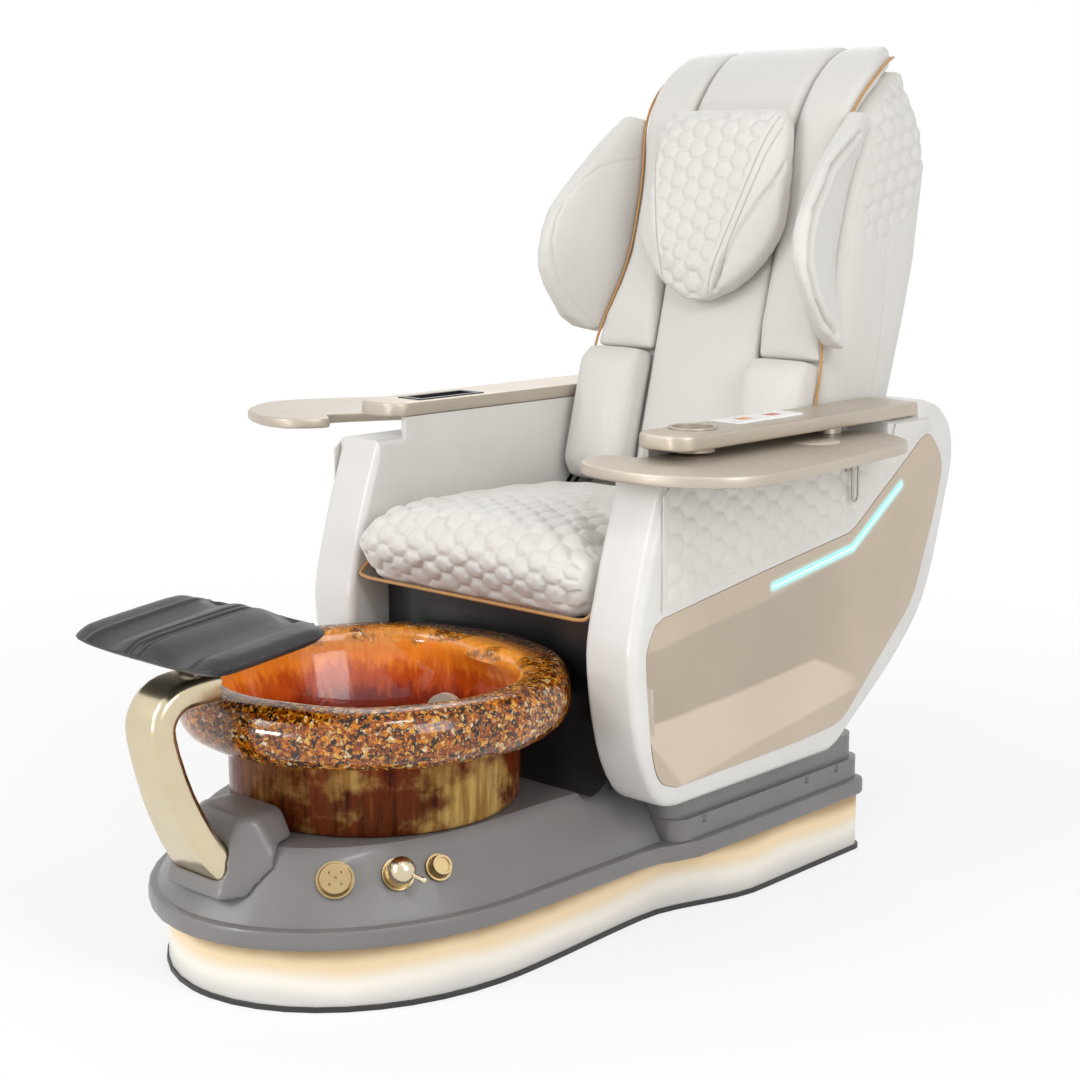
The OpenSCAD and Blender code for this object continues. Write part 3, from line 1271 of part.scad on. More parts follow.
// ---- Drawing ----------------------------------------------------------------
base_trim();
base_skirt();
base_frame();
leveling_feet();
base_deck();
plinth();
riser();
front_panel();
rear_panel();
power_inlet();
power_switch();
foot_socket();
foot_stem();
foot_bracket();
foot_pad();
bowl();
jet_housing();
jet_impeller();
drain();
drain_stopper();
control_flanges();
spray_head();
mixer_collar();
mixer_lever();
diverter_knob();
arm_right();
arm_left();
side_panels();
light_strips();
quilt_pads();
rail_right();
rail_left();
cup_holder();
phone_slot();
keypad();
recline_key();
slide_key();
bag_hooks();
tray_pivots();
tray_right();
tray_left();
seat_frame();
slide_rails();
carriage();
seat_cushion();
seat_piping();
slide_motor();
slide_rod();
back_frame();
back_shell();
back_center();
back_strips();
lumbar_pads();
back_hood();
pillow();
wings();
back_piping();
massage_carriage();
massage_rollers();
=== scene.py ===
"""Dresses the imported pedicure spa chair: upholstery, art-glass bowl, plated metal and moulded parts."""

import json
import logging
import math
from contextlib import contextmanager
from dataclasses import dataclass, field
from enum import Enum
from typing import Callable, Dict, Iterator, List, Optional, Sequence, Tuple, Union

import bmesh
import bpy
import numpy as np
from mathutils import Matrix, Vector
from mathutils.bvhtree import BVHTree
from mathutils.geometry import delaunay_2d_cdt

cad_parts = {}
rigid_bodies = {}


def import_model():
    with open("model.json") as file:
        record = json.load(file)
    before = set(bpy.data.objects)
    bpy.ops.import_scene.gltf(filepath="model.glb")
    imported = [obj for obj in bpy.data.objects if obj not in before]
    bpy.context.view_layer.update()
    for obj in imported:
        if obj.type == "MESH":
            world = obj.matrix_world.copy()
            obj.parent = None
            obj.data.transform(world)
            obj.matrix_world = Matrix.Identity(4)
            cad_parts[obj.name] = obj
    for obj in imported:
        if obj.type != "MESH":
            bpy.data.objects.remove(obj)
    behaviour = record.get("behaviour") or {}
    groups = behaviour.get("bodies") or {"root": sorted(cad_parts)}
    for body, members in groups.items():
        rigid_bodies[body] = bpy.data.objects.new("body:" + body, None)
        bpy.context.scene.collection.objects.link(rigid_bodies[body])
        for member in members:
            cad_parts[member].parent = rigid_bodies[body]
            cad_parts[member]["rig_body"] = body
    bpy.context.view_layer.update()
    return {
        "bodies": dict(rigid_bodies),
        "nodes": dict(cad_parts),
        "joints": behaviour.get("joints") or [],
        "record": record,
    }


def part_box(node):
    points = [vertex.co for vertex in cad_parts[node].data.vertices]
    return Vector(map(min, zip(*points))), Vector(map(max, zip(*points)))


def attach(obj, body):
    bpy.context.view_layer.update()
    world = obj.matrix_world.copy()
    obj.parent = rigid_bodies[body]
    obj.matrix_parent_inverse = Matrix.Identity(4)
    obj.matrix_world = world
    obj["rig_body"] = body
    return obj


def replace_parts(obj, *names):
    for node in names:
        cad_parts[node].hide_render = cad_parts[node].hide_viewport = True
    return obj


LOG = logging.getLogger("chair")
Colour = Tuple[float, float, float]
Point2 = Tuple[float, float]
Place = Tuple[float, float, float]
MM = 0.001
ROW_SHARE = 0.866
EDGE_SHARE = 0.55


# ---------------------------------------------------------------- mesh tools
def coords(obj: bpy.types.Object) -> np.ndarray:
    """Returns the vertex places of obj as an N x 3 array."""
    flat = np.zeros(len(obj.data.vertices) * 3)
    obj.data.vertices.foreach_get("co", flat)
    return flat.reshape(-1, 3)


def set_coords(obj: bpy.types.Object, places: np.ndarray) -> None:
    """Writes vertex places back to obj."""
    obj.data.vertices.foreach_set("co", places.astype(np.float32).ravel())
    obj.data.update()


def normals(obj: bpy.types.Object) -> np.ndarray:
    """Returns the vertex normals of obj as an N x 3 array."""
    flat = np.zeros(len(obj.data.vertices) * 3)
    obj.data.vertex_normals.foreach_get("vector", flat)
    return flat.reshape(-1, 3)


def link(obj: bpy.types.Object) -> bpy.types.Object:
    """Puts obj in the scene and returns it."""
    bpy.context.scene.collection.objects.link(obj)
    return obj


def mesh_object(name: str, places: Sequence, faces: Sequence) -> bpy.types.Object:
    """Makes a mesh object.

    Args:
        name: Name of the new piece.
        places: Vertex places in metres, in the shared frame.
        faces: Vertex numbers of each face.

    Returns:
        The new object, linked to the scene.
    """
    mesh = bpy.data.meshes.new(name)
    mesh.from_pydata([tuple(map(float, p)) for p in places], [], [tuple(map(int, f)) for f in faces])
    mesh.validate()
    mesh.update()
    return link(bpy.data.objects.new(name, mesh))


def bake(obj: bpy.types.Object) -> bpy.types.Object:
    """Applies all of obj's modifiers to its mesh and returns obj."""
    graph = bpy.context.evaluated_depsgraph_get()
    made = bpy.data.meshes.new_from_object(obj.evaluated_get(graph), depsgraph=graph)
    old = obj.data
    obj.modifiers.clear()
    obj.data = made
    bpy.data.meshes.remove(old)
    return obj


def smooth_shading(obj: bpy.types.Object, angle: float = 38.0) -> bpy.types.Object:
    """Shades obj smooth, with sharp edges above angle degrees, and returns it."""
    obj.data.shade_smooth()
    obj.data.set_sharp_from_angle(angle=math.radians(angle))
    return obj


@contextmanager
def edited(obj: bpy.types.Object) -> Iterator[bmesh.types.BMesh]:
    """Opens obj's mesh for editing and writes it back at the end."""
    shape = bmesh.new()
    shape.from_mesh(obj.data)
    yield shape
    shape.to_mesh(obj.data)
    shape.free()


def bell(value: np.ndarray, width: float) -> np.ndarray:
    """Returns 1 where value is 0, falling to 0 over about twice width on either side."""
    return np.exp(-((value / width) ** 2))


def refill_folds(shape: bmesh.types.BMesh, flat: float = 0.9999) -> None:
    """Fills a level face of a plate again where some of its triangles lie folded over others.

    Args:
        shape: Closed mesh to repair.
        flat: Upright share of the normal from which a face counts as level.
    """
    levels: Dict[float, List[bmesh.types.BMFace]] = {}
    for face in shape.faces:
        if abs(face.normal.z) > flat:
            levels.setdefault(round(face.calc_center_median().z, 4), []).append(face)
    for faces in levels.values():
        inside = set(faces)
        edges = {edge for face in faces for edge in face.edges}
        inner = [edge for edge in edges if all(side in inside for side in edge.link_faces)]
        if not any(edge.link_faces[0].normal.z * edge.link_faces[-1].normal.z < 0 for edge in inner):
            continue
        up = sum(face.normal.z * face.calc_area() for face in faces)
        rim = [edge for edge in edges if not all(side in inside for side in edge.link_faces)]
        bmesh.ops.delete(shape, geom=faces, context="FACES_KEEP_BOUNDARY")
        bmesh.ops.triangle_fill(shape, use_beauty=True, edges=rim, normal=(0.0, 0.0, math.copysign(1.0, up)))


def cad_copy(node: str, name: str, merge: float = 2e-5) -> bpy.types.Object:
    """Copies a frame node's mesh into a new piece with its loose corners joined.

    Args:
        node: The frame node to copy.
        name: Name of the new piece.
        merge: Distance in metres below which corners become one.

    Returns:
        The new object at the frame's own place.
    """
    source = FRAME["nodes"][node]
    obj = link(bpy.data.objects.new(name, source.data.copy()))
    obj.data.materials.clear()
    with edited(obj) as shape:
        bmesh.ops.remove_doubles(shape, verts=shape.verts, dist=merge)
        bmesh.ops.dissolve_degenerate(shape, dist=1e-6, edges=shape.edges)
        refill_folds(shape)
        bmesh.ops.recalc_face_normals(shape, faces=shape.faces)
    if obj.data.has_custom_normals:
        with bpy.context.temp_override(object=obj, active_object=obj, selected_objects=[obj]):
            bpy.ops.mesh.customdata_custom_splitnormals_clear()
    return obj


def neighbours(obj: bpy.types.Object) -> np.ndarray:
    """Returns the edges of obj as an M x 2 array of vertex numbers."""
    flat = np.zeros(len(obj.data.edges) * 2, dtype=np.int64)
    obj.data.edges.foreach_get("vertices", flat)
    return flat.reshape(-1, 2)


def relax(places: np.ndarray, edges: np.ndarray, rounds: int, share: float = 0.5) -> np.ndarray:
    """Smooths places over the mesh's edges.

    Args:
        places: Vertex places.
        edges: Pairs of joined vertices.
        rounds: Number of passes.
        share: How far each vertex goes to its neighbours' middle.

    Returns:
        The smoothed places.
    """
    count = np.bincount(edges.ravel(), minlength=len(places)).astype(float)[:, None]
    for _ in range(rounds):
        total = np.stack([
            np.bincount(edges[:, 0], weights=places[edges[:, 1], k], minlength=len(places))
            + np.bincount(edges[:, 1], weights=places[edges[:, 0], k], minlength=len(places))
            for k in range(3)], 1)
        places = places + share * (total / np.maximum(count, 1) - places)
    return places


def smooth_step(low: float, high: float, value: np.ndarray) -> np.ndarray:
    """Returns 0 below low, 1 above high and a smooth rise between, for each value."""
    t = np.clip((value - low) / (high - low), 0, 1)
    return t * t * (3 - 2 * t)


def honeycomb(u: np.ndarray, v: np.ndarray, cell: float) -> np.ndarray:
    """Distance of points to the nearest wall of a honeycomb whose cells stand in columns.

    Args:
        u: Places across.
        v: Places along.
        cell: Height of a cell between its flat walls.

    Returns:
        Distances, in the unit of cell.
    """
    wide = cell * math.sqrt(3) / 2
    best = np.full(u.shape, 1e9)
    second = np.full(u.shape, 1e9)
    col = np.round(u / wide)
    for dc in (-1, 0, 1):
        c = col + dc
        shift = np.where(np.mod(c, 2) == 0, 0.0, cell / 2)
        row = np.round((v - shift) / cell)
        for dr in (-1, 0, 1):
            d = np.hypot(u - c * wide, v - (row + dr) * cell - shift)
            second = np.minimum(second, np.maximum(best, d))
            best = np.minimum(best, d)
    return (second ** 2 - best ** 2) / (2 * cell)


def quilted(distance: np.ndarray, cell: float, depth: float, width: float = 0.11) -> np.ndarray:
    """Height of quilting from its distance to the sewn lines.

    Args:
        distance: Distance of each point to the nearest sewn line.
        cell: Size of a cell.
        depth: Depth of the sewn lines below the tops of the cells.
        width: Half width of a sewn line, as a share of the cell.

    Returns:
        Height of each point, at most zero.
    """
    groove = bell(distance, cell * width)
    dome = np.clip(1 - distance / (cell * 0.48), 0, 1) ** 2
    return -depth * (0.62 * groove + 0.38 * dome)


def line_distance(u: np.ndarray, v: np.ndarray, line: Sequence[Point2]) -> np.ndarray:
    """Returns the distance of each point (u, v) to a polyline in the same plane."""
    best = np.full(u.shape, 1e9)
    for (a, b), (c, d) in zip(line, line[1:]):
        length = max((c - a) ** 2 + (d - b) ** 2, 1e-12)
        t = np.clip(((u - a) * (c - a) + (v - b) * (d - b)) / length, 0, 1)
        best = np.minimum(best, np.hypot(u - a - t * (c - a), v - b - t * (d - b)))
    return best


def inside(u: np.ndarray, v: np.ndarray, outline: Sequence[Point2]) -> np.ndarray:
    """Returns True for each point (u, v) inside a closed outline."""
    found = np.zeros(u.shape, dtype=bool)
    for (a, b), (c, d) in zip(outline, list(outline[1:]) + [outline[0]]):
        if b == d:
            continue
        crosses = (b > v) != (d > v)
        found ^= crosses & (u < (c - a) * (v - b) / (d - b) + a)
    return found


def spline(points: Sequence[Sequence[float]], steps: int) -> List[Vector]:
    """Returns a smooth run of points through the given ones, steps to each span."""
    p = [Vector(q) for q in points]
    p = [p[0] * 2 - p[1]] + p + [p[-1] * 2 - p[-2]]
    made = []
    for i in range(1, len(p) - 2):
        for k in range(steps):
            t = k / steps
            a, b, c, d = p[i - 1:i + 3]
            made.append(0.5 * ((2 * b) + (c - a) * t + (2 * a - 5 * b + 4 * c - d) * t * t
                               + (3 * b - a - 3 * c + d) * t ** 3))
    return made + [p[-2]]


def tube(name: str, path: Sequence[Vector], radius: float, sides: int = 10) -> bpy.types.Object:
    """Makes a round tube with closed ends along a path.

    Args:
        name: Name of the new piece.
        path: Points of the centreline.
        radius: Radius of the tube.
        sides: Faces around the tube.

    Returns:
        The new object.
    """
    path = [Vector(p) for p in path]
    places: List[Vector] = []
    faces: List[Tuple[int, ...]] = []
    side = Vector((0, 0, 1)).cross(path[1] - path[0])
    if side.length < 1e-6:
        side = Vector((1, 0, 0))
    for i, p in enumerate(path):
        along = (path[min(i + 1, len(path) - 1)] - path[max(i - 1, 0)]).normalized()
        side = (side - along * side.dot(along)).normalized()
        up = along.cross(side)
        for k in range(sides):
            a = 2 * math.pi * k / sides
            places.append(p + radius * (math.cos(a) * side + math.sin(a) * up))
    for i in range(len(path) - 1):
        for k in range(sides):
            a, b = i * sides + k, i * sides + (k + 1) % sides
            faces.append((a, b, b + sides, a + sides))
    faces.append(tuple(reversed(range(sides))))
    faces.append(tuple(range((len(path) - 1) * sides, len(path) * sides)))
    return smooth_shading(mesh_object(name, places, faces), 60)


def lathe(name: str, rings: Sequence[Sequence[Vector]]) -> bpy.types.Object:
    """Joins rings of points, each with the same number, into a closed surface of revolution.

    Args:
        name: Name of the new piece.
        rings: One list of points for each ring.

    Returns:
        The new object.
    """
    n = len(rings[0])
    places = [p for ring in rings for p in ring]
    faces = []
    for i in range(len(rings)):
        j = (i + 1) % len(rings)
        for k in range(n):
            m = (k + 1) % n
            faces.append((i * n + k, i * n + m, j * n + m, j * n + k))
    return smooth_shading(mesh_object(name, places, faces), 55)


def plate(name: str, outline: Sequence[Point2], step: float, place: Callable[[float, float, float], Sequence[float]],
          lift: Callable[[np.ndarray, np.ndarray, np.ndarray], np.ndarray], thick: float) -> bpy.types.Object:
    """Makes a padded plate with a finely meshed face.

    Args:
        name: Name of the new piece.
        outline: Closed outline in the plate's own plane.
        step: Distance between the points of the face.
        place: Turns (u, v, height) into a place in the shared frame.
        lift: Height of the face from u, v and the distance to the outline.
        thick: Height of the plate's edge above its back.

    Returns:
        The new object.
    """
    edge: List[Point2] = []
    for a, b in zip(outline, list(outline[1:]) + [outline[0]]):
        parts = max(1, round(math.dist(a, b) / step))
        edge += [(a[0] + (b[0] - a[0]) * k / parts, a[1] + (b[1] - a[1]) * k / parts) for k in range(parts)]
    lo, hi = np.min(outline, 0), np.max(outline, 0)
    rows = np.arange(lo[1], hi[1], step * ROW_SHARE)
    grid = np.array([(x + (step / 2 if k % 2 else 0), y) for k, y in enumerate(rows)
                     for x in np.arange(lo[0], hi[0], step)])
    far = line_distance(grid[:, 0], grid[:, 1], list(outline) + [outline[0]])
    grid = grid[inside(grid[:, 0], grid[:, 1], outline) & (far > step * EDGE_SHARE)]
    points = [Vector(p) for p in edge] + [Vector(p) for p in grid]
    ring = [(k, (k + 1) % len(edge)) for k in range(len(edge))]
    flat, _, faces, _, _, _ = delaunay_2d_cdt(points, ring, [list(range(len(edge)))], 1, 1e-7)
    uv = np.array([tuple(p) for p in flat])
    away = line_distance(uv[:, 0], uv[:, 1], list(outline) + [outline[0]])
    high = thick + lift(uv[:, 0], uv[:, 1], away)
    places = [place(u, v, h) for (u, v), h in zip(uv, high)]
    n = len(places)
    places += [place(u, v, 0.0) for u, v in uv[:len(edge)]]
    made = [tuple(f) for f in faces]
    made += [(a, b, n + b, n + a) for a, b in ring]
    made.append(tuple(n + k for k in range(len(edge))))
    obj = mesh_object(name, places, made)
    with edited(obj) as shape:
        bmesh.ops.recalc_face_normals(shape, faces=shape.faces)
    return smooth_shading(obj, 50)


def mirrored(obj: bpy.types.Object, name: str) -> bpy.types.Object:
    """Returns a copy of obj mirrored in the plane X = 0."""
    other = link(bpy.data.objects.new(name, obj.data.copy()))
    places = coords(other)
    places[:, 0] *= -1
    set_coords(other, places)
    other.data.flip_normals()
    return other


# ---------------------------------------------------------------- soft goods
def remesh(obj: bpy.types.Object, voxel: float, rounds: int) -> bpy.types.Object:
    """Turns obj into an even mesh of cells of voxel metres, smoothed in rounds, and returns it."""
    mod = obj.modifiers.new("remesh", "REMESH")
    mod.mode = "VOXEL"
    mod.voxel_size = voxel
    bake(obj)
    set_coords(obj, relax(coords(obj), neighbours(obj), rounds))
    return obj


def voxel_copy(node: str, name: str, voxel: float, rounds: int) -> bpy.types.Object:
    """Copies a soft node as an even, gently smoothed mesh.

    Args:
        node: The frame node to copy.
        name: Name of the new piece.
        voxel: Size of the mesh's cells in metres.
        rounds: Smoothing passes.

    Returns:
        The new object.
    """
    return remesh(cad_copy(node, name), voxel, rounds)


CLOTH = {"quality": 4, "mass": 0.25, "tension_stiffness": 12, "compression_stiffness": 12, "shear_stiffness": 6,
         "bending_stiffness": 1.5, "use_pressure": True}
PRESSURE = 4.0


def swell(obj: bpy.types.Object, cap: float, frames: int = 16) -> bpy.types.Object:
    """Swells a closed cover with air by cloth simulation and keeps the result.

    Args:
        obj: The cover.
        cap: Farthest that a point may move, in metres.
        frames: Simulated frames.

    Returns:
        The same object with its new shape.
    """
    start = coords(obj)
    sim = link(bpy.data.objects.new("air_" + obj.name, obj.data.copy()))
    mod = sim.modifiers.new("cloth", "CLOTH")
    for setting, value in CLOTH.items():
        setattr(mod.settings, setting, value)
    mod.settings.uniform_pressure_force = PRESSURE
    mod.settings.effector_weights.gravity = 0
    mod.collision_settings.use_collision = False
    mod.point_cache.frame_start = 1
    mod.point_cache.frame_end = frames
    scene = bpy.context.scene
    for frame in range(1, frames + 1):
        scene.frame_set(frame)
    graph = bpy.context.evaluated_depsgraph_get()
    done = coords(sim.evaluated_get(graph))
    old = sim.data
    bpy.data.objects.remove(sim)
    bpy.data.meshes.remove(old)
    scene.frame_set(1)
    move = done - start
    size = np.linalg.norm(move, axis=1, keepdims=True)
    set_coords(obj, start + move * np.minimum(1, cap / np.maximum(size, 1e-9)))
    return obj


def subdivide(obj: bpy.types.Object, levels: int = 1) -> bpy.types.Object:
    """Adds smooth subdivision to obj's mesh and returns obj."""
    mod = obj.modifiers.new("subdivision", "SUBSURF")
    mod.levels = levels
    mod.render_levels = levels
    return bake(obj)


def push(obj: bpy.types.Object, height: np.ndarray) -> bpy.types.Object:
    """Moves each vertex along its normal by height and returns obj."""
    set_coords(obj, coords(obj) + normals(obj) * height[:, None])
    return obj


def keep_within(obj: bpy.types.Object, node: str, room: Sequence[float]) -> bpy.types.Object:
    """Keeps obj within a node's box, let out on each axis by room in metres, and returns obj."""
    low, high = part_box(node)
    places = coords(obj)
    for k in range(3):
        places[:, k] = np.clip(places[:, k], low[k] - room[k], high[k] + room[k])
    set_coords(obj, places)
    return obj


@dataclass(frozen=True)
class BackFrame:
    """The leaning frame of the backrest: x across, depth from the front, height up it."""

    tilt: float = math.radians(14)
    y: float = 0.540
    z: float = 0.667

    def into(self, places: np.ndarray) -> np.ndarray:
        """Returns shared-frame places as x, depth and height in this frame."""
        a, b = places[:, 1] - self.y, places[:, 2] - self.z
        c, s = math.cos(self.tilt), math.sin(self.tilt)
        return np.stack([places[:, 0], a * c - b * s, a * s + b * c], 1)

    def out(self, x: float, depth: float, height: float) -> Vector:
        """Returns the shared-frame place of one point of this frame."""
        c, s = math.cos(self.tilt), math.sin(self.tilt)
        return Vector((x, self.y + depth * c + height * s, self.z - depth * s + height * c))

    def front(self) -> Vector:
        """Returns the direction that the backrest faces."""
        return Vector((0, -math.cos(self.tilt), math.sin(self.tilt)))


BACK = BackFrame()


def lay_on(obj: bpy.types.Object, points: Sequence[Vector], toward: Vector, sink: float) -> List[Vector]:
    """Drops points on a piece's surface.

    Args:
        obj: The piece.
        points: Points in front of it.
        toward: Direction in which they drop.
        sink: How deep they go below the surface.

    Returns:
        The points that met the surface.
    """
    tree = BVHTree.FromPolygons([v.co.copy() for v in obj.data.vertices],
                                [tuple(p.vertices) for p in obj.data.polygons])
    found = []
    for p in points:
        hit = tree.ray_cast(p, toward)[0]
        if hit is not None:
            found.append(hit + toward * sink)
    return found


# ---------------------------------------------------------------- shader groups
class Value:
    """A shader's number, colour or vector, where each sum, difference or product lays a Math node."""

    def __init__(self, graph: "Graph", socket: bpy.types.NodeSocket) -> None:
        """Wraps an output socket."""
        self.graph, self.socket = graph, socket

    def __add__(self, other: "Number") -> "Value":
        """Returns the sum."""
        return self.graph.math("ADD", self, other)

    def __radd__(self, other: float) -> "Value":
        """Returns the sum with a plain number in front."""
        return self.graph.math("ADD", other, self)

    def __sub__(self, other: "Number") -> "Value":
        """Returns the difference."""
        return self.graph.math("SUBTRACT", self, other)

    def __rsub__(self, other: float) -> "Value":
        """Returns the difference from a plain number."""
        return self.graph.math("SUBTRACT", other, self)

    def __mul__(self, other: "Number") -> "Value":
        """Returns the product."""
        return self.graph.math("MULTIPLY", self, other)


Number = Union[float, Value]
Paint = Union[Colour, Value]


class Graph:
    """A short way to lay shader nodes."""

    def __init__(self, tree: bpy.types.NodeTree) -> None:
        """Starts on a node tree."""
        self.tree = tree

    def feed(self, node: bpy.types.Node, values: Dict) -> None:
        """Sets a node's inputs.

        Args:
            node: The node.
            values: Numbers, colours or shader values, by socket name or number.
        """
        for key, value in values.items():
            socket = node.inputs[key]
            if isinstance(value, Value):
                self.tree.links.new(value.socket, socket)
            elif socket.type == "RGBA" and len(value) == 3:
                socket.default_value = (*value, 1)
            else:
                socket.default_value = value

    def node(self, kind: str, values: Optional[Dict] = None, **settings) -> bpy.types.Node:
        """Adds a node.

        Args:
            kind: Blender's name of the node.
            values: Its inputs, as in feed.
            settings: Properties of the node.

        Returns:
            The node.
        """
        made = self.tree.nodes.new(kind)
        for key, value in settings.items():
            setattr(made, key, value)
        self.feed(made, values or {})
        return made

    def out(self, kind: str, values: Optional[Dict] = None, output: Union[int, str] = 0, **settings) -> Value:
        """Adds a node as node does and returns one of its outputs."""
        return Value(self, self.node(kind, values, **settings).outputs[output])

    def outs(self, node: bpy.types.Node) -> Dict[str, Value]:
        """Returns a node's outputs by name."""
        return {socket.name: Value(self, socket) for socket in node.outputs}

    def group(self, name: str, values: Dict) -> Dict[str, Value]:
        """Adds one of the shared groups and returns its outputs by name."""
        return self.outs(self.node("ShaderNodeGroup", values, node_tree=GROUPS[name]))

    def math(self, operation: str, *values: Number) -> Value:
        """Adds a Math node and returns its output."""
        return self.out("ShaderNodeMath", dict(enumerate(values)), operation=operation)

    def split(self, vector: Value) -> List[Value]:
        """Returns a vector's x, y and z."""
        return list(self.outs(self.node("ShaderNodeSeparateXYZ", {0: vector})).values())

    def upward(self) -> Value:
        """Returns how far the surface faces up, from -1 to 1."""
        return self.split(self.out("ShaderNodeNewGeometry", output="Normal"))[2]

    def ramp(self, value: Value, stops: Sequence[Tuple[float, Colour]], constant: bool = False) -> Value:
        """Adds a colour ramp and returns its colour."""
        made = self.node("ShaderNodeValToRGB", {"Fac": value})
        band = made.color_ramp
        band.interpolation = "CONSTANT" if constant else "EASE"
        while len(band.elements) < len(stops):
            band.elements.new(0.5)
        for element, (at, colour) in zip(band.elements, stops):
            element.position = at
            element.color = (*colour, 1)
        return Value(self, made.outputs["Color"])

    def span(self, value: Value, low: float, high: float, to_low: float = 0.0, to_high: float = 1.0) -> Value:
        """Maps a value from one span to another with a smooth rise and returns it."""
        return self.out("ShaderNodeMapRange", {0: value, 1: low, 2: high, 3: to_low, 4: to_high},
                        interpolation_type="SMOOTHSTEP")

    def mix(self, factor: Number, first: Paint, second: Paint) -> Value:
        """Mixes two colours and returns the result."""
        return self.out("ShaderNodeMix", {0: factor, 6: first, 7: second}, 2, data_type="RGBA")

    def noise(self, vector: Value, scale: Number, detail: float = 3.0, roughness: float = 0.5) -> Value:
        """Adds a noise texture and returns its value."""
        return self.out("ShaderNodeTexNoise", {"Vector": vector, "Scale": scale, "Detail": detail,
                                               "Roughness": roughness})

    def stretched(self, vector: Value, scale: Sequence[float]) -> Value:
        """Returns coordinates multiplied by scale."""
        return self.out("ShaderNodeMapping", {"Vector": vector, "Scale": scale})

    def warped(self, vector: Value, scale: float, amount: float) -> Value:
        """Returns coordinates that wander by amount, with noise of a scale."""
        warp = self.out("ShaderNodeTexNoise", {"Vector": vector, "Scale": scale, "Detail": 2.0}, 1)
        shift = self.out("ShaderNodeVectorMath", {0: warp, "Scale": amount}, operation="SCALE")
        return self.out("ShaderNodeVectorMath", {0: vector, 1: shift}, operation="ADD")


FLOAT, COLOUR, VECTOR = "NodeSocketFloat", "NodeSocketColor", "NodeSocketVector"
GROUPS: Dict[str, bpy.types.NodeTree] = {}
FRAME: Dict = {}


def new_group(name: str, inputs: Sequence[Tuple[str, str, object]],
              outputs: Sequence[Tuple[str, str]]) -> Tuple[Graph, Dict[str, Value], bpy.types.Node]:
    """Starts a shader node group.

    Args:
        name: Name of the group.
        inputs: Name, kind and starting value of each input.
        outputs: Name and kind of each output.

    Returns:
        The group's graph, its inputs by name and its output node.
    """
    tree = bpy.data.node_groups.new(name, "ShaderNodeTree")
    for label, kind, value in inputs:
        socket = tree.interface.new_socket(label, in_out="INPUT", socket_type=kind)
        if value is not None:
            socket.default_value = value
    for label, kind in outputs:
        tree.interface.new_socket(label, in_out="OUTPUT", socket_type=kind)
    graph = Graph(tree)
    return graph, graph.outs(graph.node("NodeGroupInput")), graph.node("NodeGroupOutput")


def leather_group() -> bpy.types.NodeTree:
    """Returns the group for leather: pebbled grain, soft creases and a gentle change of tone."""
    g, start, end = new_group(
        "leather_grain", [("Vector", VECTOR, None), ("Colour", COLOUR, (0.7, 0.7, 0.7, 1)),
                          ("Grain Scale", FLOAT, 420.0), ("Tone", FLOAT, 0.05)],
        [("Colour", COLOUR), ("Height", FLOAT), ("Roughness", FLOAT)])
    at = start["Vector"]
    pebble = g.out("ShaderNodeTexVoronoi", {"Vector": g.warped(at, 60.0, 0.004), "Scale": start["Grain Scale"]},
                   "Distance", feature="DISTANCE_TO_EDGE")
    grain = g.span(pebble, 0.0, 0.16)
    crease = g.span(g.noise(at, 26.0, 4.0, 0.6), 0.35, 0.65)
    tone = (g.noise(at, 5.0, 3.0) - 0.5) * start["Tone"] + (grain - 1.0) * 0.06
    g.feed(end, {"Colour": g.out("ShaderNodeHueSaturation", {"Value": 1.0 + tone, "Color": start["Colour"]}),
                 "Height": grain * 0.6 + g.noise(at, 900.0, 2.0) * 0.2 + crease * 0.5,
                 "Roughness": (1.0 - grain) * 0.12 + crease * 0.05})
    return g.tree


def wear_group() -> bpy.types.NodeTree:
    """Returns the group for handling marks: rubbed edges, faint dust and fine scratches."""
    g, start, end = new_group(
        "handling_marks", [("Vector", VECTOR, None), ("Edge Width", FLOAT, 0.002), ("Mark Scale", FLOAT, 40.0)],
        [("Edge", FLOAT), ("Dust", FLOAT), ("Scratch", FLOAT)])
    at = start["Vector"]
    bevel = g.out("ShaderNodeBevel", {"Radius": start["Edge Width"]}, samples=4)
    turn = g.out("ShaderNodeVectorMath", {0: bevel, 1: g.out("ShaderNodeNewGeometry", output="Normal")}, "Value",
                 operation="DOT_PRODUCT")
    spots = g.noise(at, start["Mark Scale"], 5.0, 0.7)
    g.feed(end, {"Edge": g.span(turn, 0.995, 0.90) * g.span(spots, 0.35, 0.6),
                 "Dust": g.span(g.noise(at, 9.0, 6.0, 0.65), 0.4, 0.75),
                 "Scratch": g.span(g.noise(g.stretched(at, (4.0, 160.0, 40.0)), 6.0, 3.0), 0.62, 0.72)})
    return g.tree


def flecks_group() -> bpy.types.NodeTree:
    """Returns the group for coloured flecks melted in glass: a random colour to each fleck."""
    g, start, end = new_group(
        "glass_flecks", [("Vector", VECTOR, None), ("Fleck Scale", FLOAT, 130.0), ("Share", FLOAT, 0.5)],
        [("Colour", COLOUR), ("Mask", FLOAT), ("Height", FLOAT)])
    cells = g.outs(g.node("ShaderNodeTexVoronoi", {"Vector": g.warped(start["Vector"], 90.0, 0.012),
                                                   "Scale": start["Fleck Scale"]}))
    which, kept, _ = g.outs(g.node("ShaderNodeSeparateColor", {0: cells["Color"]})).values()
    colour = g.ramp(which, [(0.0, (0.012, 0.008, 0.006)), (0.26, (0.10, 0.024, 0.006)),
                            (0.48, (0.42, 0.10, 0.015)), (0.68, (0.80, 0.29, 0.05)),
                            (0.84, (0.93, 0.52, 0.19)), (0.95, (0.98, 0.82, 0.55))], True)
    g.feed(end, {"Colour": colour, "Mask": g.math("LESS_THAN", kept, start["Share"]), "Height": cells["Distance"]})
    return g.tree


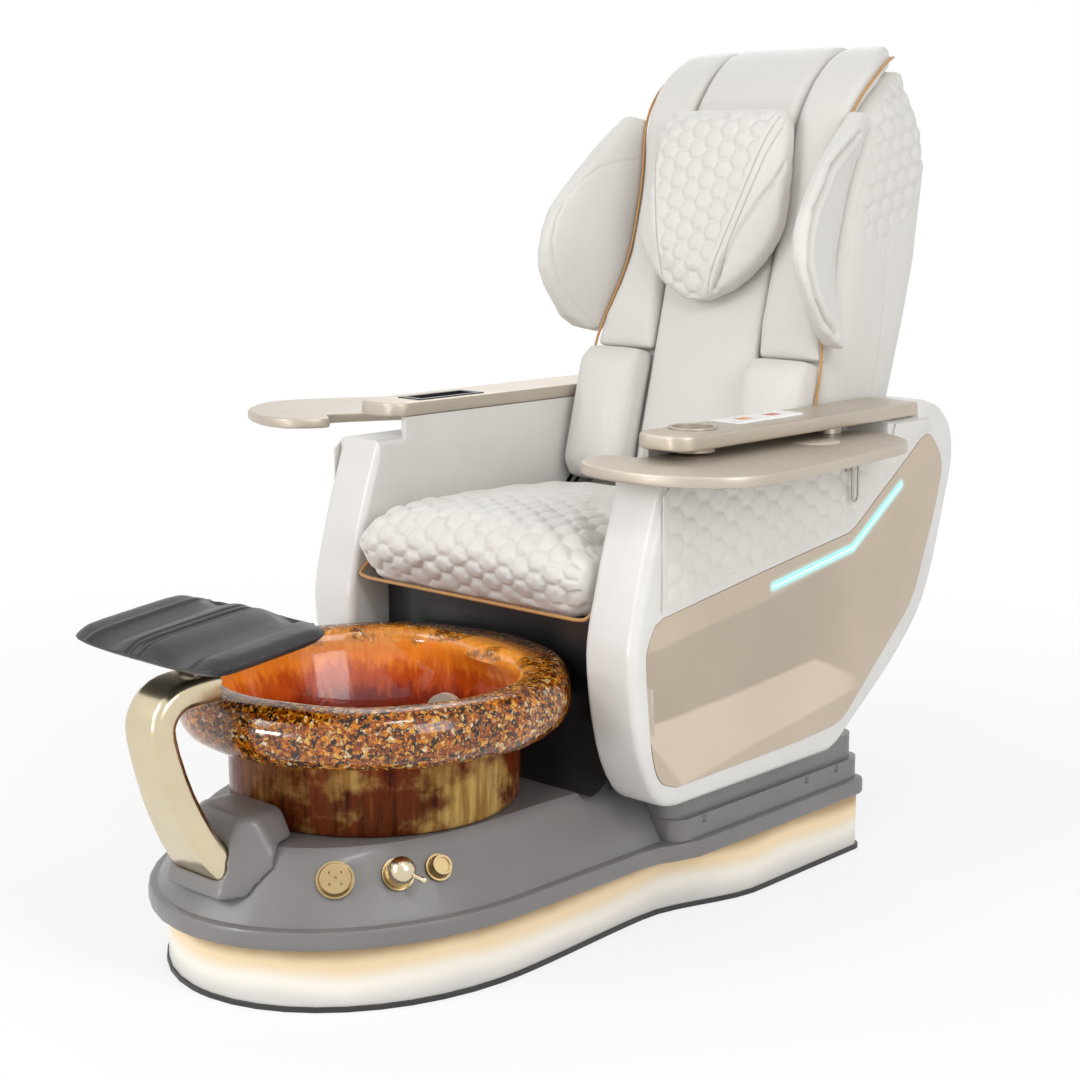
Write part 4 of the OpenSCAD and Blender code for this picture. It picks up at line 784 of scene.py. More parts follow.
def ripple_group() -> bpy.types.NodeTree:
    """Returns the group for moulded and lacquered skins: orange peel and slow waves."""
    g, start, end = new_group(
        "skin_ripple", [("Vector", VECTOR, None), ("Peel Scale", FLOAT, 300.0), ("Wave Scale", FLOAT, 8.0)],
        [("Height", FLOAT), ("Tone", FLOAT)])
    peel = g.noise(start["Vector"], start["Peel Scale"], 2.0)
    wave = g.noise(start["Vector"], start["Wave Scale"], 2.0)
    g.feed(end, {"Height": peel * 0.25 + wave, "Tone": wave - 0.5})
    return g.tree


# ---------------------------------------------------------------- finishes
def start_material(name: str) -> Tuple[bpy.types.Material, Graph, bpy.types.Node, Value]:
    """Starts a material.

    Args:
        name: Name of the material.

    Returns:
        The material, its graph, its Principled shader and the object coordinates.
    """
    mat = bpy.data.materials.new(name)
    mat.use_nodes = True
    mat.node_tree.nodes.clear()
    g = Graph(mat.node_tree)
    shader = g.node("ShaderNodeBsdfPrincipled")
    g.node("ShaderNodeOutputMaterial", {"Surface": Value(g, shader.outputs[0])})
    return mat, g, shader, g.out("ShaderNodeTexCoord", output="Object")


def shades(colour: Colour, share: float, more: float = 0.0) -> Colour:
    """Returns a colour with its parts multiplied by share and raised by more, up to white."""
    return tuple(min(1.0, c * share + more) for c in colour)


def bump(g: Graph, height: Value, strength: float, distance: float, edge: float = 0.0) -> Value:
    """Returns the normal of a relief.

    Args:
        g: The material's graph.
        height: Height output.
        strength: Strength of the relief.
        distance: Depth of the relief in metres.
        edge: Radius of softened edges in metres, or 0.
    """
    values = {"Height": height, "Strength": strength, "Distance": distance}
    if edge:
        values["Normal"] = g.out("ShaderNodeBevel", {"Radius": edge}, samples=4)
    return g.out("ShaderNodeBump", values)


@dataclass(frozen=True)
class Leather:
    """Soft upholstery leather."""

    name: str
    colour: Colour
    grain: float = 420.0
    rough: float = 0.44
    tone: float = 0.06

    def make(self) -> bpy.types.Material:
        """Returns the material."""
        mat, g, shader, at = start_material(self.name)
        skin = g.group("leather", {"Vector": at, "Colour": self.colour, "Grain Scale": self.grain,
                                   "Tone": self.tone})
        g.feed(shader, {"Base Color": skin["Colour"], "Roughness": skin["Roughness"] + self.rough,
                        "Sheen Weight": 0.12, "Sheen Roughness": 0.5, "Specular IOR Level": 0.4,
                        "Normal": bump(g, skin["Height"], 0.35, 0.0004)})
        return mat


@dataclass(frozen=True)
class Metal:
    """Plated, lacquered or brushed metal."""

    name: str
    colour: Colour
    rough: float = 0.25
    metallic: float = 1.0
    coat: float = 0.0
    edge: float = 0.001
    brushed: float = 0.0
    pale: float = 1.25

    def make(self) -> bpy.types.Material:
        """Returns the material."""
        mat, g, shader, at = start_material(self.name)
        marks = g.group("wear", {"Vector": at, "Edge Width": 0.0016})
        skin = g.group("ripple", {"Vector": at, "Peel Scale": 500.0, "Wave Scale": 14.0})
        colour = g.mix(0.5 + skin["Tone"], shades(self.colour, 0.86), self.colour)
        colour = g.mix(marks["Edge"] * 0.6, colour, shades(self.colour, self.pale))
        scratched = 0.05 + self.brushed * 0.1
        height = skin["Height"]
        if self.brushed:
            height = height + g.noise(g.stretched(at, (900.0, 12.0, 900.0)), 1.0, 2.0) * self.brushed
        g.feed(shader, {"Base Color": colour, "Metallic": self.metallic, "Coat Weight": self.coat,
                        "Roughness": self.rough + marks["Dust"] * 0.08 + marks["Scratch"] * scratched,
                        "Coat Roughness": 0.12, "Normal": bump(g, height, 0.12, 0.0004, self.edge)})
        return mat


@dataclass(frozen=True)
class Moulded:
    """Moulded plastic, foam skin or rubber."""

    name: str
    colour: Colour
    rough: float = 0.4
    coat: float = 0.0
    edge: float = 0.0015
    peel: float = 320.0
    relief: float = 0.2
    tone: float = 0.08
    dusty: float = 0.05
    shine: float = 0.5

    def make(self) -> bpy.types.Material:
        """Returns the material."""
        mat, g, shader, at = start_material(self.name)
        marks = g.group("wear", {"Vector": at, "Edge Width": 0.002})
        skin = g.group("ripple", {"Vector": at, "Peel Scale": self.peel, "Wave Scale": 7.0})
        light = shades(self.colour, 1.15, 0.01)
        colour = g.mix(0.5 + skin["Tone"], shades(self.colour, 1 - self.tone * 2), light)
        colour = g.mix(marks["Dust"] * self.dusty, colour, shades(self.colour, 0.85, 0.04))
        g.feed(shader, {"Base Color": g.mix(marks["Edge"] * 0.35, colour, light),
                        "Roughness": self.rough + marks["Dust"] * 0.1, "Coat Weight": self.coat,
                        "Coat Roughness": 0.15, "Specular IOR Level": self.shine,
                        "Normal": bump(g, skin["Height"], self.relief, 0.0006, self.edge)})
        return mat


@dataclass(frozen=True)
class LitSkirt:
    """Translucent skirt that glows warm near its upper edge."""

    name: str = "lit_skirt"
    low: float = 0.012
    high: float = 0.106

    def make(self) -> bpy.types.Material:
        """Returns the material."""
        mat, g, shader, at = start_material(self.name)
        up = g.split(at)[2] + (g.noise(at, 5.0, 2.0) - 0.5) * 0.03
        rise = g.out("ShaderNodeMapRange", {0: up, 1: self.low, 2: self.high})
        colour = g.ramp(rise, [(0.0, (0.60, 0.585, 0.56)), (0.38, (0.78, 0.745, 0.68)),
                               (0.72, (0.72, 0.58, 0.38)), (1.0, (0.36, 0.25, 0.13))])
        glow = g.ramp(rise, [(0.0, (0.0, 0.0, 0.0)), (0.45, (0.10, 0.08, 0.045)), (0.75, (0.20, 0.13, 0.05)),
                             (1.0, (0.05, 0.03, 0.01))])
        g.feed(shader, {"Base Color": colour, "Roughness": 0.32 + g.noise(at, 60.0) * 0.1,
                        "Emission Color": glow, "Emission Strength": 0.6,
                        "Normal": bump(g, g.noise(at, 240.0), 0.1, 0.0004, 0.001)})
        return mat


@dataclass(frozen=True)
class LampLine:
    """Light strip with a pale core, or the panel around it with a painted glow of the strip's light and painted
    shade by slope.
    """

    name: str
    path: Tuple[Point2, ...]
    colour: Colour
    # Reach of the glow painted on the panel around the strip: painted light.
    painted_glow_reach: float
    strength: float
    core: float = 0.0
    core_colour: Colour = (0.60, 0.97, 1.0)
    # How strongly faces tilted up are painted lighter and faces tilted down darker: painted shade.
    slope: float = 0.20

    def distance(self, g: Graph, y: Value, z: Value) -> Value:
        """Returns the distance of the surface to the lamp's path, seen from the side."""
        near = None
        for (a, b), (c, d) in zip(self.path, self.path[1:]):
            length = (c - a) ** 2 + (d - b) ** 2
            t = g.out("ShaderNodeClamp", {0: (y - a) * ((c - a) / length) + (z - b) * ((d - b) / length)})
            dy, dz = (y - a) - t * (c - a), (z - b) - t * (d - b)
            far = g.math("SQRT", dy * dy + dz * dz)
            near = far if near is None else g.math("MINIMUM", near, far)
        return near

    def make(self, base: Colour, rough: float) -> bpy.types.Material:
        """Makes the material.

        Args:
            base: Colour of the surface where no glow is painted, before the painted shade by slope.
            rough: Roughness of the unlit surface.

        Returns:
            The material.
        """
        mat, g, shader, at = start_material(self.name)
        near = self.distance(g, *g.split(at)[1:])
        skin = g.group("ripple", {"Vector": at, "Peel Scale": 420.0, "Wave Scale": 5.0})
        paint = g.mix(0.5 + skin["Tone"], shades(base, 0.90), shades(base, 1.10))
        # Painted shade: the colour is lightened on faces tilted up and darkened on faces tilted down.
        tone = g.span(g.upward(), -0.16, 0.16, 1 - self.slope, 1 + self.slope)
        # Painted light on the panel: a cyan glow that fades with distance from the strip.
        glow = g.mix(g.math("POWER", g.span(near, self.painted_glow_reach, 0.0), 2.2), (0.0, 0.0, 0.0), self.colour)
        if self.core:
            glow = g.mix(g.span(near, self.core, 0.0), self.colour, self.core_colour)
        g.feed(shader, {"Base Color": g.out("ShaderNodeVectorMath", {0: paint, "Scale": tone}, operation="SCALE"),
                        "Metallic": 0.25, "Roughness": rough + g.noise(at, 30.0) * 0.08,
                        "Emission Color": glow, "Emission Strength": self.strength,
                        "Normal": bump(g, skin["Height"], 0.12, 0.0005, 0.0012)})
        return mat


@dataclass(frozen=True)
class ArtGlass:
    """Hand-worked bowl glass: flecked rim, an inside with a painted orange glow, and a brown and gold foot."""

    name: str = "art_glass"
    centre_y: float = -0.264
    rim_z: float = 0.374
    foot_r: float = 0.236
    mouth_r: float = 0.252
    rim_r: float = 0.292
    floor_z: float = 0.29
    lip_z: float = 0.46

    def rim(self, g: Graph, at: Value, drift: Value, flecks: Dict[str, Value]) -> Value:
        """Returns the rim's colour: two sizes of flecks in brown glass."""
        small = g.group("flecks", {"Vector": at, "Fleck Scale": 330.0, "Share": 0.6})
        ground = g.ramp(drift, [(0.30, (0.09, 0.014, 0.003)), (0.50, (0.34, 0.070, 0.008)),
                                (0.68, (0.66, 0.19, 0.02))])
        colour = g.mix(flecks["Mask"], ground, flecks["Colour"])
        colour = g.mix(small["Mask"] * 0.55, colour, small["Colour"])
        return g.out("ShaderNodeHueSaturation", {"Saturation": 1.15, "Value": 0.66, "Color": colour})

    def foot(self, g: Graph, at: Value, x: Value, y: Value, run: Value) -> Value:
        """Returns the foot's colour: brown, with gold patches on the sitter's left."""
        patch = g.span(g.noise(at, 7.0, 5.0, 0.6), 0.46, 0.60) * g.span(x - y * 0.4, 0.02, 0.24, 0.12, 1.0)
        brown = g.ramp(run, [(0.30, (0.022, 0.005, 0.002)), (0.55, (0.085, 0.020, 0.005)),
                             (0.75, (0.19, 0.055, 0.012))])
        return g.mix(patch, brown, g.ramp(run, [(0.3, (0.22, 0.11, 0.022)), (0.7, (0.46, 0.31, 0.10))]))

    def make(self) -> bpy.types.Material:
        """Returns the material."""
        mat, g, shader, at = start_material(self.name)
        x, y, z = g.split(at)
        y = y - self.centre_y
        radius = g.math("SQRT", x * x + y * y)
        flecks = g.group("flecks", {"Vector": at, "Fleck Scale": 150.0, "Share": 0.86})
        drift = g.noise(at, 12.0, 5.0, 0.65)
        rim = self.rim(g, at, drift, flecks)
        run = g.noise(g.stretched(at, (70.0, 70.0, 7.0)), 1.0, 4.0, 0.6)
        depth = g.out("ShaderNodeMapRange", {0: z, 1: self.floor_z, 2: self.lip_z}) + (run - 0.5) * 0.55
        well = g.ramp(depth, [(0.0, (0.05, 0.003, 0.002)), (0.34, (0.17, 0.010, 0.003)),
                              (0.58, (0.46, 0.062, 0.006)), (0.84, (0.82, 0.22, 0.018)), (1.0, (0.92, 0.36, 0.05))])
        mottled = g.span(g.noise(at, 16.0, 4.0), 0.44, 0.58)
        lip = g.mix(g.span(mottled, 0.0, 1.0, 0.25, 0.95), well, rim)
        inner = g.mix(g.span(z + (run - 0.5) * 0.05, 0.440, 0.458), well, lip)
        foot = self.foot(g, at, x, y, run)
        outer = g.mix(g.span(z, self.rim_z - 0.004, self.rim_z + 0.004), foot, rim)
        colour = g.mix(g.span(radius, self.mouth_r, self.rim_r), inner, outer)
        low = g.math("GREATER_THAN", radius, self.foot_r) * g.math("LESS_THAN", z, self.rim_z - 0.006)
        relief = g.noise(at, 22.0, 3.0) * 1.0 + flecks["Height"] * 0.15
        # The Emission Color below is a painted glow on the inner wall, standing in for light through and off the
        # glass.
        g.feed(shader, {"Base Color": g.mix(low, colour, foot), "Roughness": 0.10 + drift * 0.12,
                        "Coat Weight": g.span(g.upward(), 0.35, 0.80, 0.75, 0.1) * (1.0 - low),
                        "Coat Roughness": 0.03, "Specular IOR Level": g.span(low, 0.0, 1.0, 0.3, 0.06),
                        "Emission Color": g.mix(g.span(radius, 0.262, 0.250), (0.0, 0.0, 0.0), well),
                        "Emission Strength": 0.16, "Normal": bump(g, relief, 0.3, 0.004)})
        return mat


LAMP_PATH: Tuple[Point2, ...] = ((0.313, 0.572), (0.553, 0.607), (0.706, 0.706))


class Finish(Enum):
    """The chair's finishes, each with the record's slot that it stands for."""

    LEATHER = "leather"
    QUILT = "quilt"
    PIPING = "piping"
    SEAM = "seam"
    CASING = "casing"
    PANEL = "panel_beige"
    LIGHT = "light"
    CHAMPAGNE = "champagne"
    STEM = "champagne_gold"
    ANTIQUE = "antique_gold"
    DECK = "deck"
    SKIRT = "skirt"
    TRIM = "trim_black"
    PAD = "pad_grey"
    GLASS = "art_glass"
    BLACK_GLOSS = "black_panel"
    BLACK = "black_plastic"
    RED = "red_plastic"
    STEEL = "bright_steel"
    IVORY = "ivory_plastic"
    WHITE = "white_plastic"
    HOOK = "hook_metal"
    KEYPAD = "keypad_white"
    ORANGE_KEY = "key_orange"
    RED_KEY = "key_red"
    ZINC = "zinc"
    MOTOR = "motor_black"
    FRAME_PAINT = "frame_steel"
    GREY_PAINT = "steel_grey"
    ALLOY = "alloy"
    FEET = "foot_black"
    INLAY = "inlay"


MATERIALS: Dict[Finish, bpy.types.Material] = {}


def make_materials() -> None:
    """Builds the shader groups and every finish."""
    GROUPS.update(leather=leather_group(), wear=wear_group(), flecks=flecks_group(), ripple=ripple_group())
    warm_white = (0.675, 0.655, 0.62)
    plain = {
        Finish.LEATHER: Leather("warm_white_leather", warm_white),
        Finish.QUILT: Leather("quilted_leather", (0.665, 0.645, 0.605), tone=0.08),
        Finish.PIPING: Leather("tan_piping", (0.50, 0.265, 0.09), grain=700.0, rough=0.36),
        Finish.SEAM: Leather("seam_thread", (0.46, 0.445, 0.42), grain=900.0, rough=0.6),
        Finish.CASING: Moulded("casing_white", (0.625, 0.61, 0.585), rough=0.30, coat=0.25, relief=0.10, tone=0.02),
        Finish.CHAMPAGNE: Metal("champagne_lacquer", (0.55, 0.485, 0.40), rough=0.42, metallic=0.6, coat=0.15,
                                edge=0.0015),
        Finish.STEM: Metal("polished_champagne_gold", (0.74, 0.635, 0.44), rough=0.17, coat=0.2, edge=0.002),
        Finish.ANTIQUE: Metal("antique_gold_plate", (0.44, 0.33, 0.17), rough=0.28, edge=0.0008),
        Finish.DECK: Moulded("grey_deck", (0.160, 0.152, 0.149), rough=0.36, coat=0.15, tone=0.04, relief=0.12),
        Finish.TRIM: Moulded("black_edge_strip", (0.02, 0.02, 0.022), rough=0.4),
        Finish.PAD: Moulded("grey_foam_skin", (0.018, 0.018, 0.020), rough=0.36, shine=0.4, peel=600.0, relief=0.3,
                            edge=0.0),
        Finish.BLACK_GLOSS: Moulded("gloss_black", (0.006, 0.006, 0.008), rough=0.38, coat=0.1, dusty=0.02),
        Finish.BLACK: Moulded("matt_black", (0.016, 0.016, 0.018), rough=0.5),
        Finish.RED: Moulded("red_rocker", (0.45, 0.03, 0.02), rough=0.3),
        Finish.STEEL: Metal("satin_steel", (0.58, 0.57, 0.55), rough=0.3, brushed=0.4),
        Finish.IVORY: Moulded("ivory_jet", (0.55, 0.50, 0.40), rough=0.3, coat=0.3),
        Finish.WHITE: Moulded("white_impeller", (0.75, 0.75, 0.74), rough=0.35),
        Finish.HOOK: Metal("satin_nickel", (0.50, 0.46, 0.40), rough=0.28),
        Finish.KEYPAD: Moulded("keypad_face", (0.80, 0.80, 0.80), rough=0.25, coat=0.3, tone=0.01),
        Finish.ORANGE_KEY: Moulded("orange_key", (0.78, 0.26, 0.05), rough=0.35),
        Finish.RED_KEY: Moulded("red_key", (0.55, 0.08, 0.03), rough=0.35),
        Finish.ZINC: Metal("zinc_plate", (0.50, 0.51, 0.52), rough=0.34, brushed=0.6),
        Finish.MOTOR: Moulded("motor_housing", (0.02, 0.02, 0.022), rough=0.45),
        Finish.FRAME_PAINT: Moulded("dark_powder_coat", (0.035, 0.036, 0.038), rough=0.5, peel=500.0, relief=0.4),
        Finish.GREY_PAINT: Moulded("grey_powder_coat", (0.24, 0.245, 0.25), rough=0.5, peel=500.0, relief=0.4),
        Finish.ALLOY: Metal("cast_alloy", (0.46, 0.46, 0.47), rough=0.45, brushed=0.2),
        Finish.FEET: Moulded("black_rubber", (0.025, 0.025, 0.027), rough=0.6),
        Finish.INLAY: Metal("pale_inlay", (0.70, 0.62, 0.50), rough=0.45, metallic=0.4, coat=0.1),
        Finish.SKIRT: LitSkirt(),
        Finish.GLASS: ArtGlass(),
    }
    for finish, sort in plain.items():
        MATERIALS[finish] = sort.make()
    # The panel carries painted light and shade: a glow painted around the strip, and faces lighter or darker by
    # their slope.
    panel = LampLine("beige_panel", LAMP_PATH, (0.10, 0.75, 0.85), 0.020, 1.1)
    MATERIALS[Finish.PANEL] = panel.make((0.52, 0.43, 0.335), 0.36)
    strip = LampLine("lamp_strip", LAMP_PATH, (0.08, 0.80, 0.92), 0.5, 1.35, 0.0042)
    MATERIALS[Finish.LIGHT] = strip.make((0.2, 0.6, 0.65), 0.4)


def dress(obj: bpy.types.Object, finish: Finish, node: str) -> bpy.types.Object:
    """Gives a piece its finish and makes it ride with the node it stands for.

    Args:
        obj: The piece.
        finish: Its finish.
        node: The frame node that it belongs to.

    Returns:
        The piece.
    """
    obj.data.materials.clear()
    obj.data.materials.append(MATERIALS[finish])
    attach(obj, FRAME["nodes"][node]["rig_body"])
    LOG.info("%s: %d faces", obj.name, len(obj.data.polygons))
    return obj


@dataclass
class HardPart:
    """A rigid part whose form comes from its frame node, with smooth shading on its round faces."""

    node: str
    finish: Finish
    angle: float = 32.0

    def build(self) -> bpy.types.Object:
        """Makes the part and dresses it."""
        obj = cad_copy(self.node, self.node + "_part")
        smooth_shading(obj, self.angle)
        obj.modifiers.new("even_normals", "WEIGHTED_NORMAL").keep_sharp = True
        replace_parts(dress(obj, self.finish, self.node), self.node)
        return obj


Parts = Sequence[Tuple[str, Finish]]


def build_parts(parts: Parts, angle: float = 32.0) -> None:
    """Builds a rigid part for each node and finish, with sharp edges above angle degrees."""
    for node, finish in parts:
        HardPart(node, finish, angle).build()


# ---------------------------------------------------------------- sub-assemblies
@dataclass
class Base:
    """Edge strip, lit skirt, grey deck and everything under the seat that doesn't move."""

    parts: Parts = (
        ("base_trim", Finish.TRIM), ("base_skirt", Finish.SKIRT), ("base_frame", Finish.GREY_PAINT),
        ("leveling_feet", Finish.FEET), ("base_deck", Finish.DECK), ("plinth", Finish.DECK),
        # The riser gets matt black as painted shade under the seat; its own colour is the deck's grey.
        ("riser", Finish.BLACK), ("front_panel", Finish.BLACK_GLOSS), ("rear_panel", Finish.BLACK),
        ("power_inlet", Finish.BLACK), ("power_switch", Finish.RED),
        ("seat_frame", Finish.FRAME_PAINT), ("slide_rails", Finish.ZINC), ("slide_motor", Finish.MOTOR),
        ("slide_rod", Finish.ZINC), ("carriage", Finish.FRAME_PAINT))

    def build(self) -> None:
        """Builds each part of the base."""
        build_parts(self.parts)
        socket = voxel_copy("foot_socket", "foot_socket_blend", 0.0035, 26)
        set_coords(socket, coords(socket) + (0, 0, 0.0015))
        smooth_shading(dress(socket, Finish.DECK, "foot_socket"), 80)
        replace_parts(socket, "foot_socket")


@dataclass
class Footrest:
    """Padded footrest on its curved gold stem."""

    groove: float = 0.0034
    hollow: float = 0.007
    slope: float = 0.11
    middle_y: float = -0.626
    underside: float = 0.566
    split: float = 0.006
    welt: float = 0.0030
    ridge_x: float = 0.016
    welt_x: float = 0.128
    hollow_x: float = 0.092

    def build(self) -> None:
        """Builds the stem, the bracket, the hinge and the pad."""
        HardPart("foot_stem", Finish.STEM, angle=42).build()
        HardPart("foot_bracket", Finish.STEEL).build()
        self.pad_and_hinge()

    def under_pad(self, place: Vector) -> bool:
        """Says whether a place is below the pad's underside."""
        return place.z < self.underside + self.slope * (place.y - self.middle_y) - 0.0005

    def pad_and_hinge(self) -> None:
        """Parts the pad from its hinge bar and forms the pad's grooves and hollows."""
        pad = cad_copy("foot_pad", "footrest_pad")
        bar = cad_copy("foot_pad", "footrest_hinge")
        for piece, keep_bar in ((pad, False), (bar, True)):
            with edited(piece) as shape:
                gone = [f for f in shape.faces if self.under_pad(f.calc_center_median()) != keep_bar]
                bmesh.ops.delete(shape, geom=gone, context="FACES")
                bmesh.ops.holes_fill(shape, edges=shape.edges, sides=0)
                bmesh.ops.triangulate(shape, faces=shape.faces)
        dress(smooth_shading(bar, 32), Finish.STEEL, "foot_pad")
        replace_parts(bar, "foot_pad")
        subdivide(remesh(pad, 0.004, 8))
        places, facing = coords(pad), normals(pad)
        across = np.abs(places[:, 0])
        top = smooth_step(0.2, 0.7, facing[:, 2])
        front = smooth_step(0.2, -0.4, facing[:, 2])
        split = bell(places[:, 0], 0.0035) * (1 - front * 0.6)
        ridges = bell(across - self.ridge_x, 0.0028) * top
        welt = bell(across - self.welt_x, 0.006) * top
        hollow = bell(across - self.hollow_x, 0.040) * smooth_step(0.5, 0.9, facing[:, 2])
        push(pad, -self.split * split - self.groove * ridges + self.welt * welt - self.hollow * hollow)
        smooth_shading(dress(pad, Finish.PAD, "foot_pad"), 70)
        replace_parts(pad, "foot_pad")


@dataclass
class FootBowl:
    """Hand-worked glass bowl with its jet and drain."""

    centre: Vector = field(default_factory=lambda: Vector((0, -0.264, 0.2463)))
    segments: int = 160
    rim_r: float = 0.336
    foot_r: float = 0.246
    mouth_r: float = 0.262
    drain_r: float = 0.024
    round_r: float = 0.034
    lip_r: float = 0.022
    height: float = 0.226
    rim_h: float = 0.096
    parts: Parts = (("jet_housing", Finish.IVORY), ("jet_impeller", Finish.WHITE), ("drain", Finish.STEEL),
                    ("drain_stopper", Finish.STEEL))

    def profile(self, turn: float) -> List[Point2]:
        """Section of the glass at one angle round the bowl.

        Args:
            turn: Angle from the sitter's left, in radians.

        Returns:
            Radius and height of each point, starting under the foot.
        """
        low = self.height - self.rim_h
        rear = math.exp(-(((turn - math.radians(72)) / 0.62) ** 2))
        wave = 0.5 + 0.5 * math.sin(5.0 * turn + 0.2)
        shelf = 0.056 * rear * (0.60 + 0.40 * wave)
        swell_r = 0.0018 * math.sin(7 * turn) + 0.0012 * math.sin(13 * turn + 1)
        high = 0.0015 * math.sin(5 * turn + 2) + 0.0012 * math.sin(9 * turn)
        r, m, f = self.rim_r + swell_r - 0.001, self.mouth_r - shelf, self.foot_r
        points: List[Point2] = [(self.drain_r, 0.0), (f - 0.008, 0.0), (f - 0.002, 0.004), (f, 0.014),
                                (f + 0.001, low - 0.02), (f + 0.003, low - 0.006), (f + 0.010, low - 0.001)]
        for a in range(-78, 81, 12):
            c, s = math.cos(math.radians(a)), math.sin(math.radians(a))
            points.append((r - self.round_r + self.round_r * c,
                           low + self.rim_h / 2 + (self.rim_h / 2 + high * 0.5) * s))
        top = self.height + high * 0.5
        for a in range(78, 181, 14):
            c, s = math.cos(math.radians(a)), math.sin(math.radians(a))
            points.append((m + self.lip_r + self.lip_r * c, top - 0.016 + 0.016 * s))
        points += [(m - 0.003, top - 0.026), (m - 0.004 + shelf * 0.35, top - 0.040),
                   (self.mouth_r - 0.018, low + 0.022), (f - 0.016, low - 0.03), (f - 0.021, 0.080),
                   (f - 0.028, 0.050), (f - 0.044, 0.026), (f - 0.072, 0.0145), (0.100, 0.012), (0.0395, 0.0106),
                   (self.drain_r, 0.0105)]
        return points

    def build(self) -> None:
        """Builds the bowl, the jet and the drain."""
        turns = [2 * math.pi * k / self.segments for k in range(self.segments)]
        sections = [self.profile(turn) for turn in turns]
        rings = [[self.centre + Vector((s[i][0] * math.cos(a), s[i][0] * math.sin(a), s[i][1]))
                  for s, a in zip(sections, turns)] for i in range(len(sections[0]))]
        bowl = lathe("foot_bowl_glass", rings)
        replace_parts(dress(bowl, Finish.GLASS, "bowl"), "bowl")
        build_parts(self.parts)


@dataclass
class Taps:
    """Spray head, mixer and diverter on the deck's flank."""

    parts: Parts = (
        ("control_flanges", Finish.ANTIQUE), ("spray_head", Finish.ANTIQUE), ("mixer_collar", Finish.ANTIQUE),
        ("mixer_lever", Finish.STEM), ("diverter_knob", Finish.ANTIQUE))

    def build(self) -> None:
        """Builds each tap."""
        build_parts(self.parts)


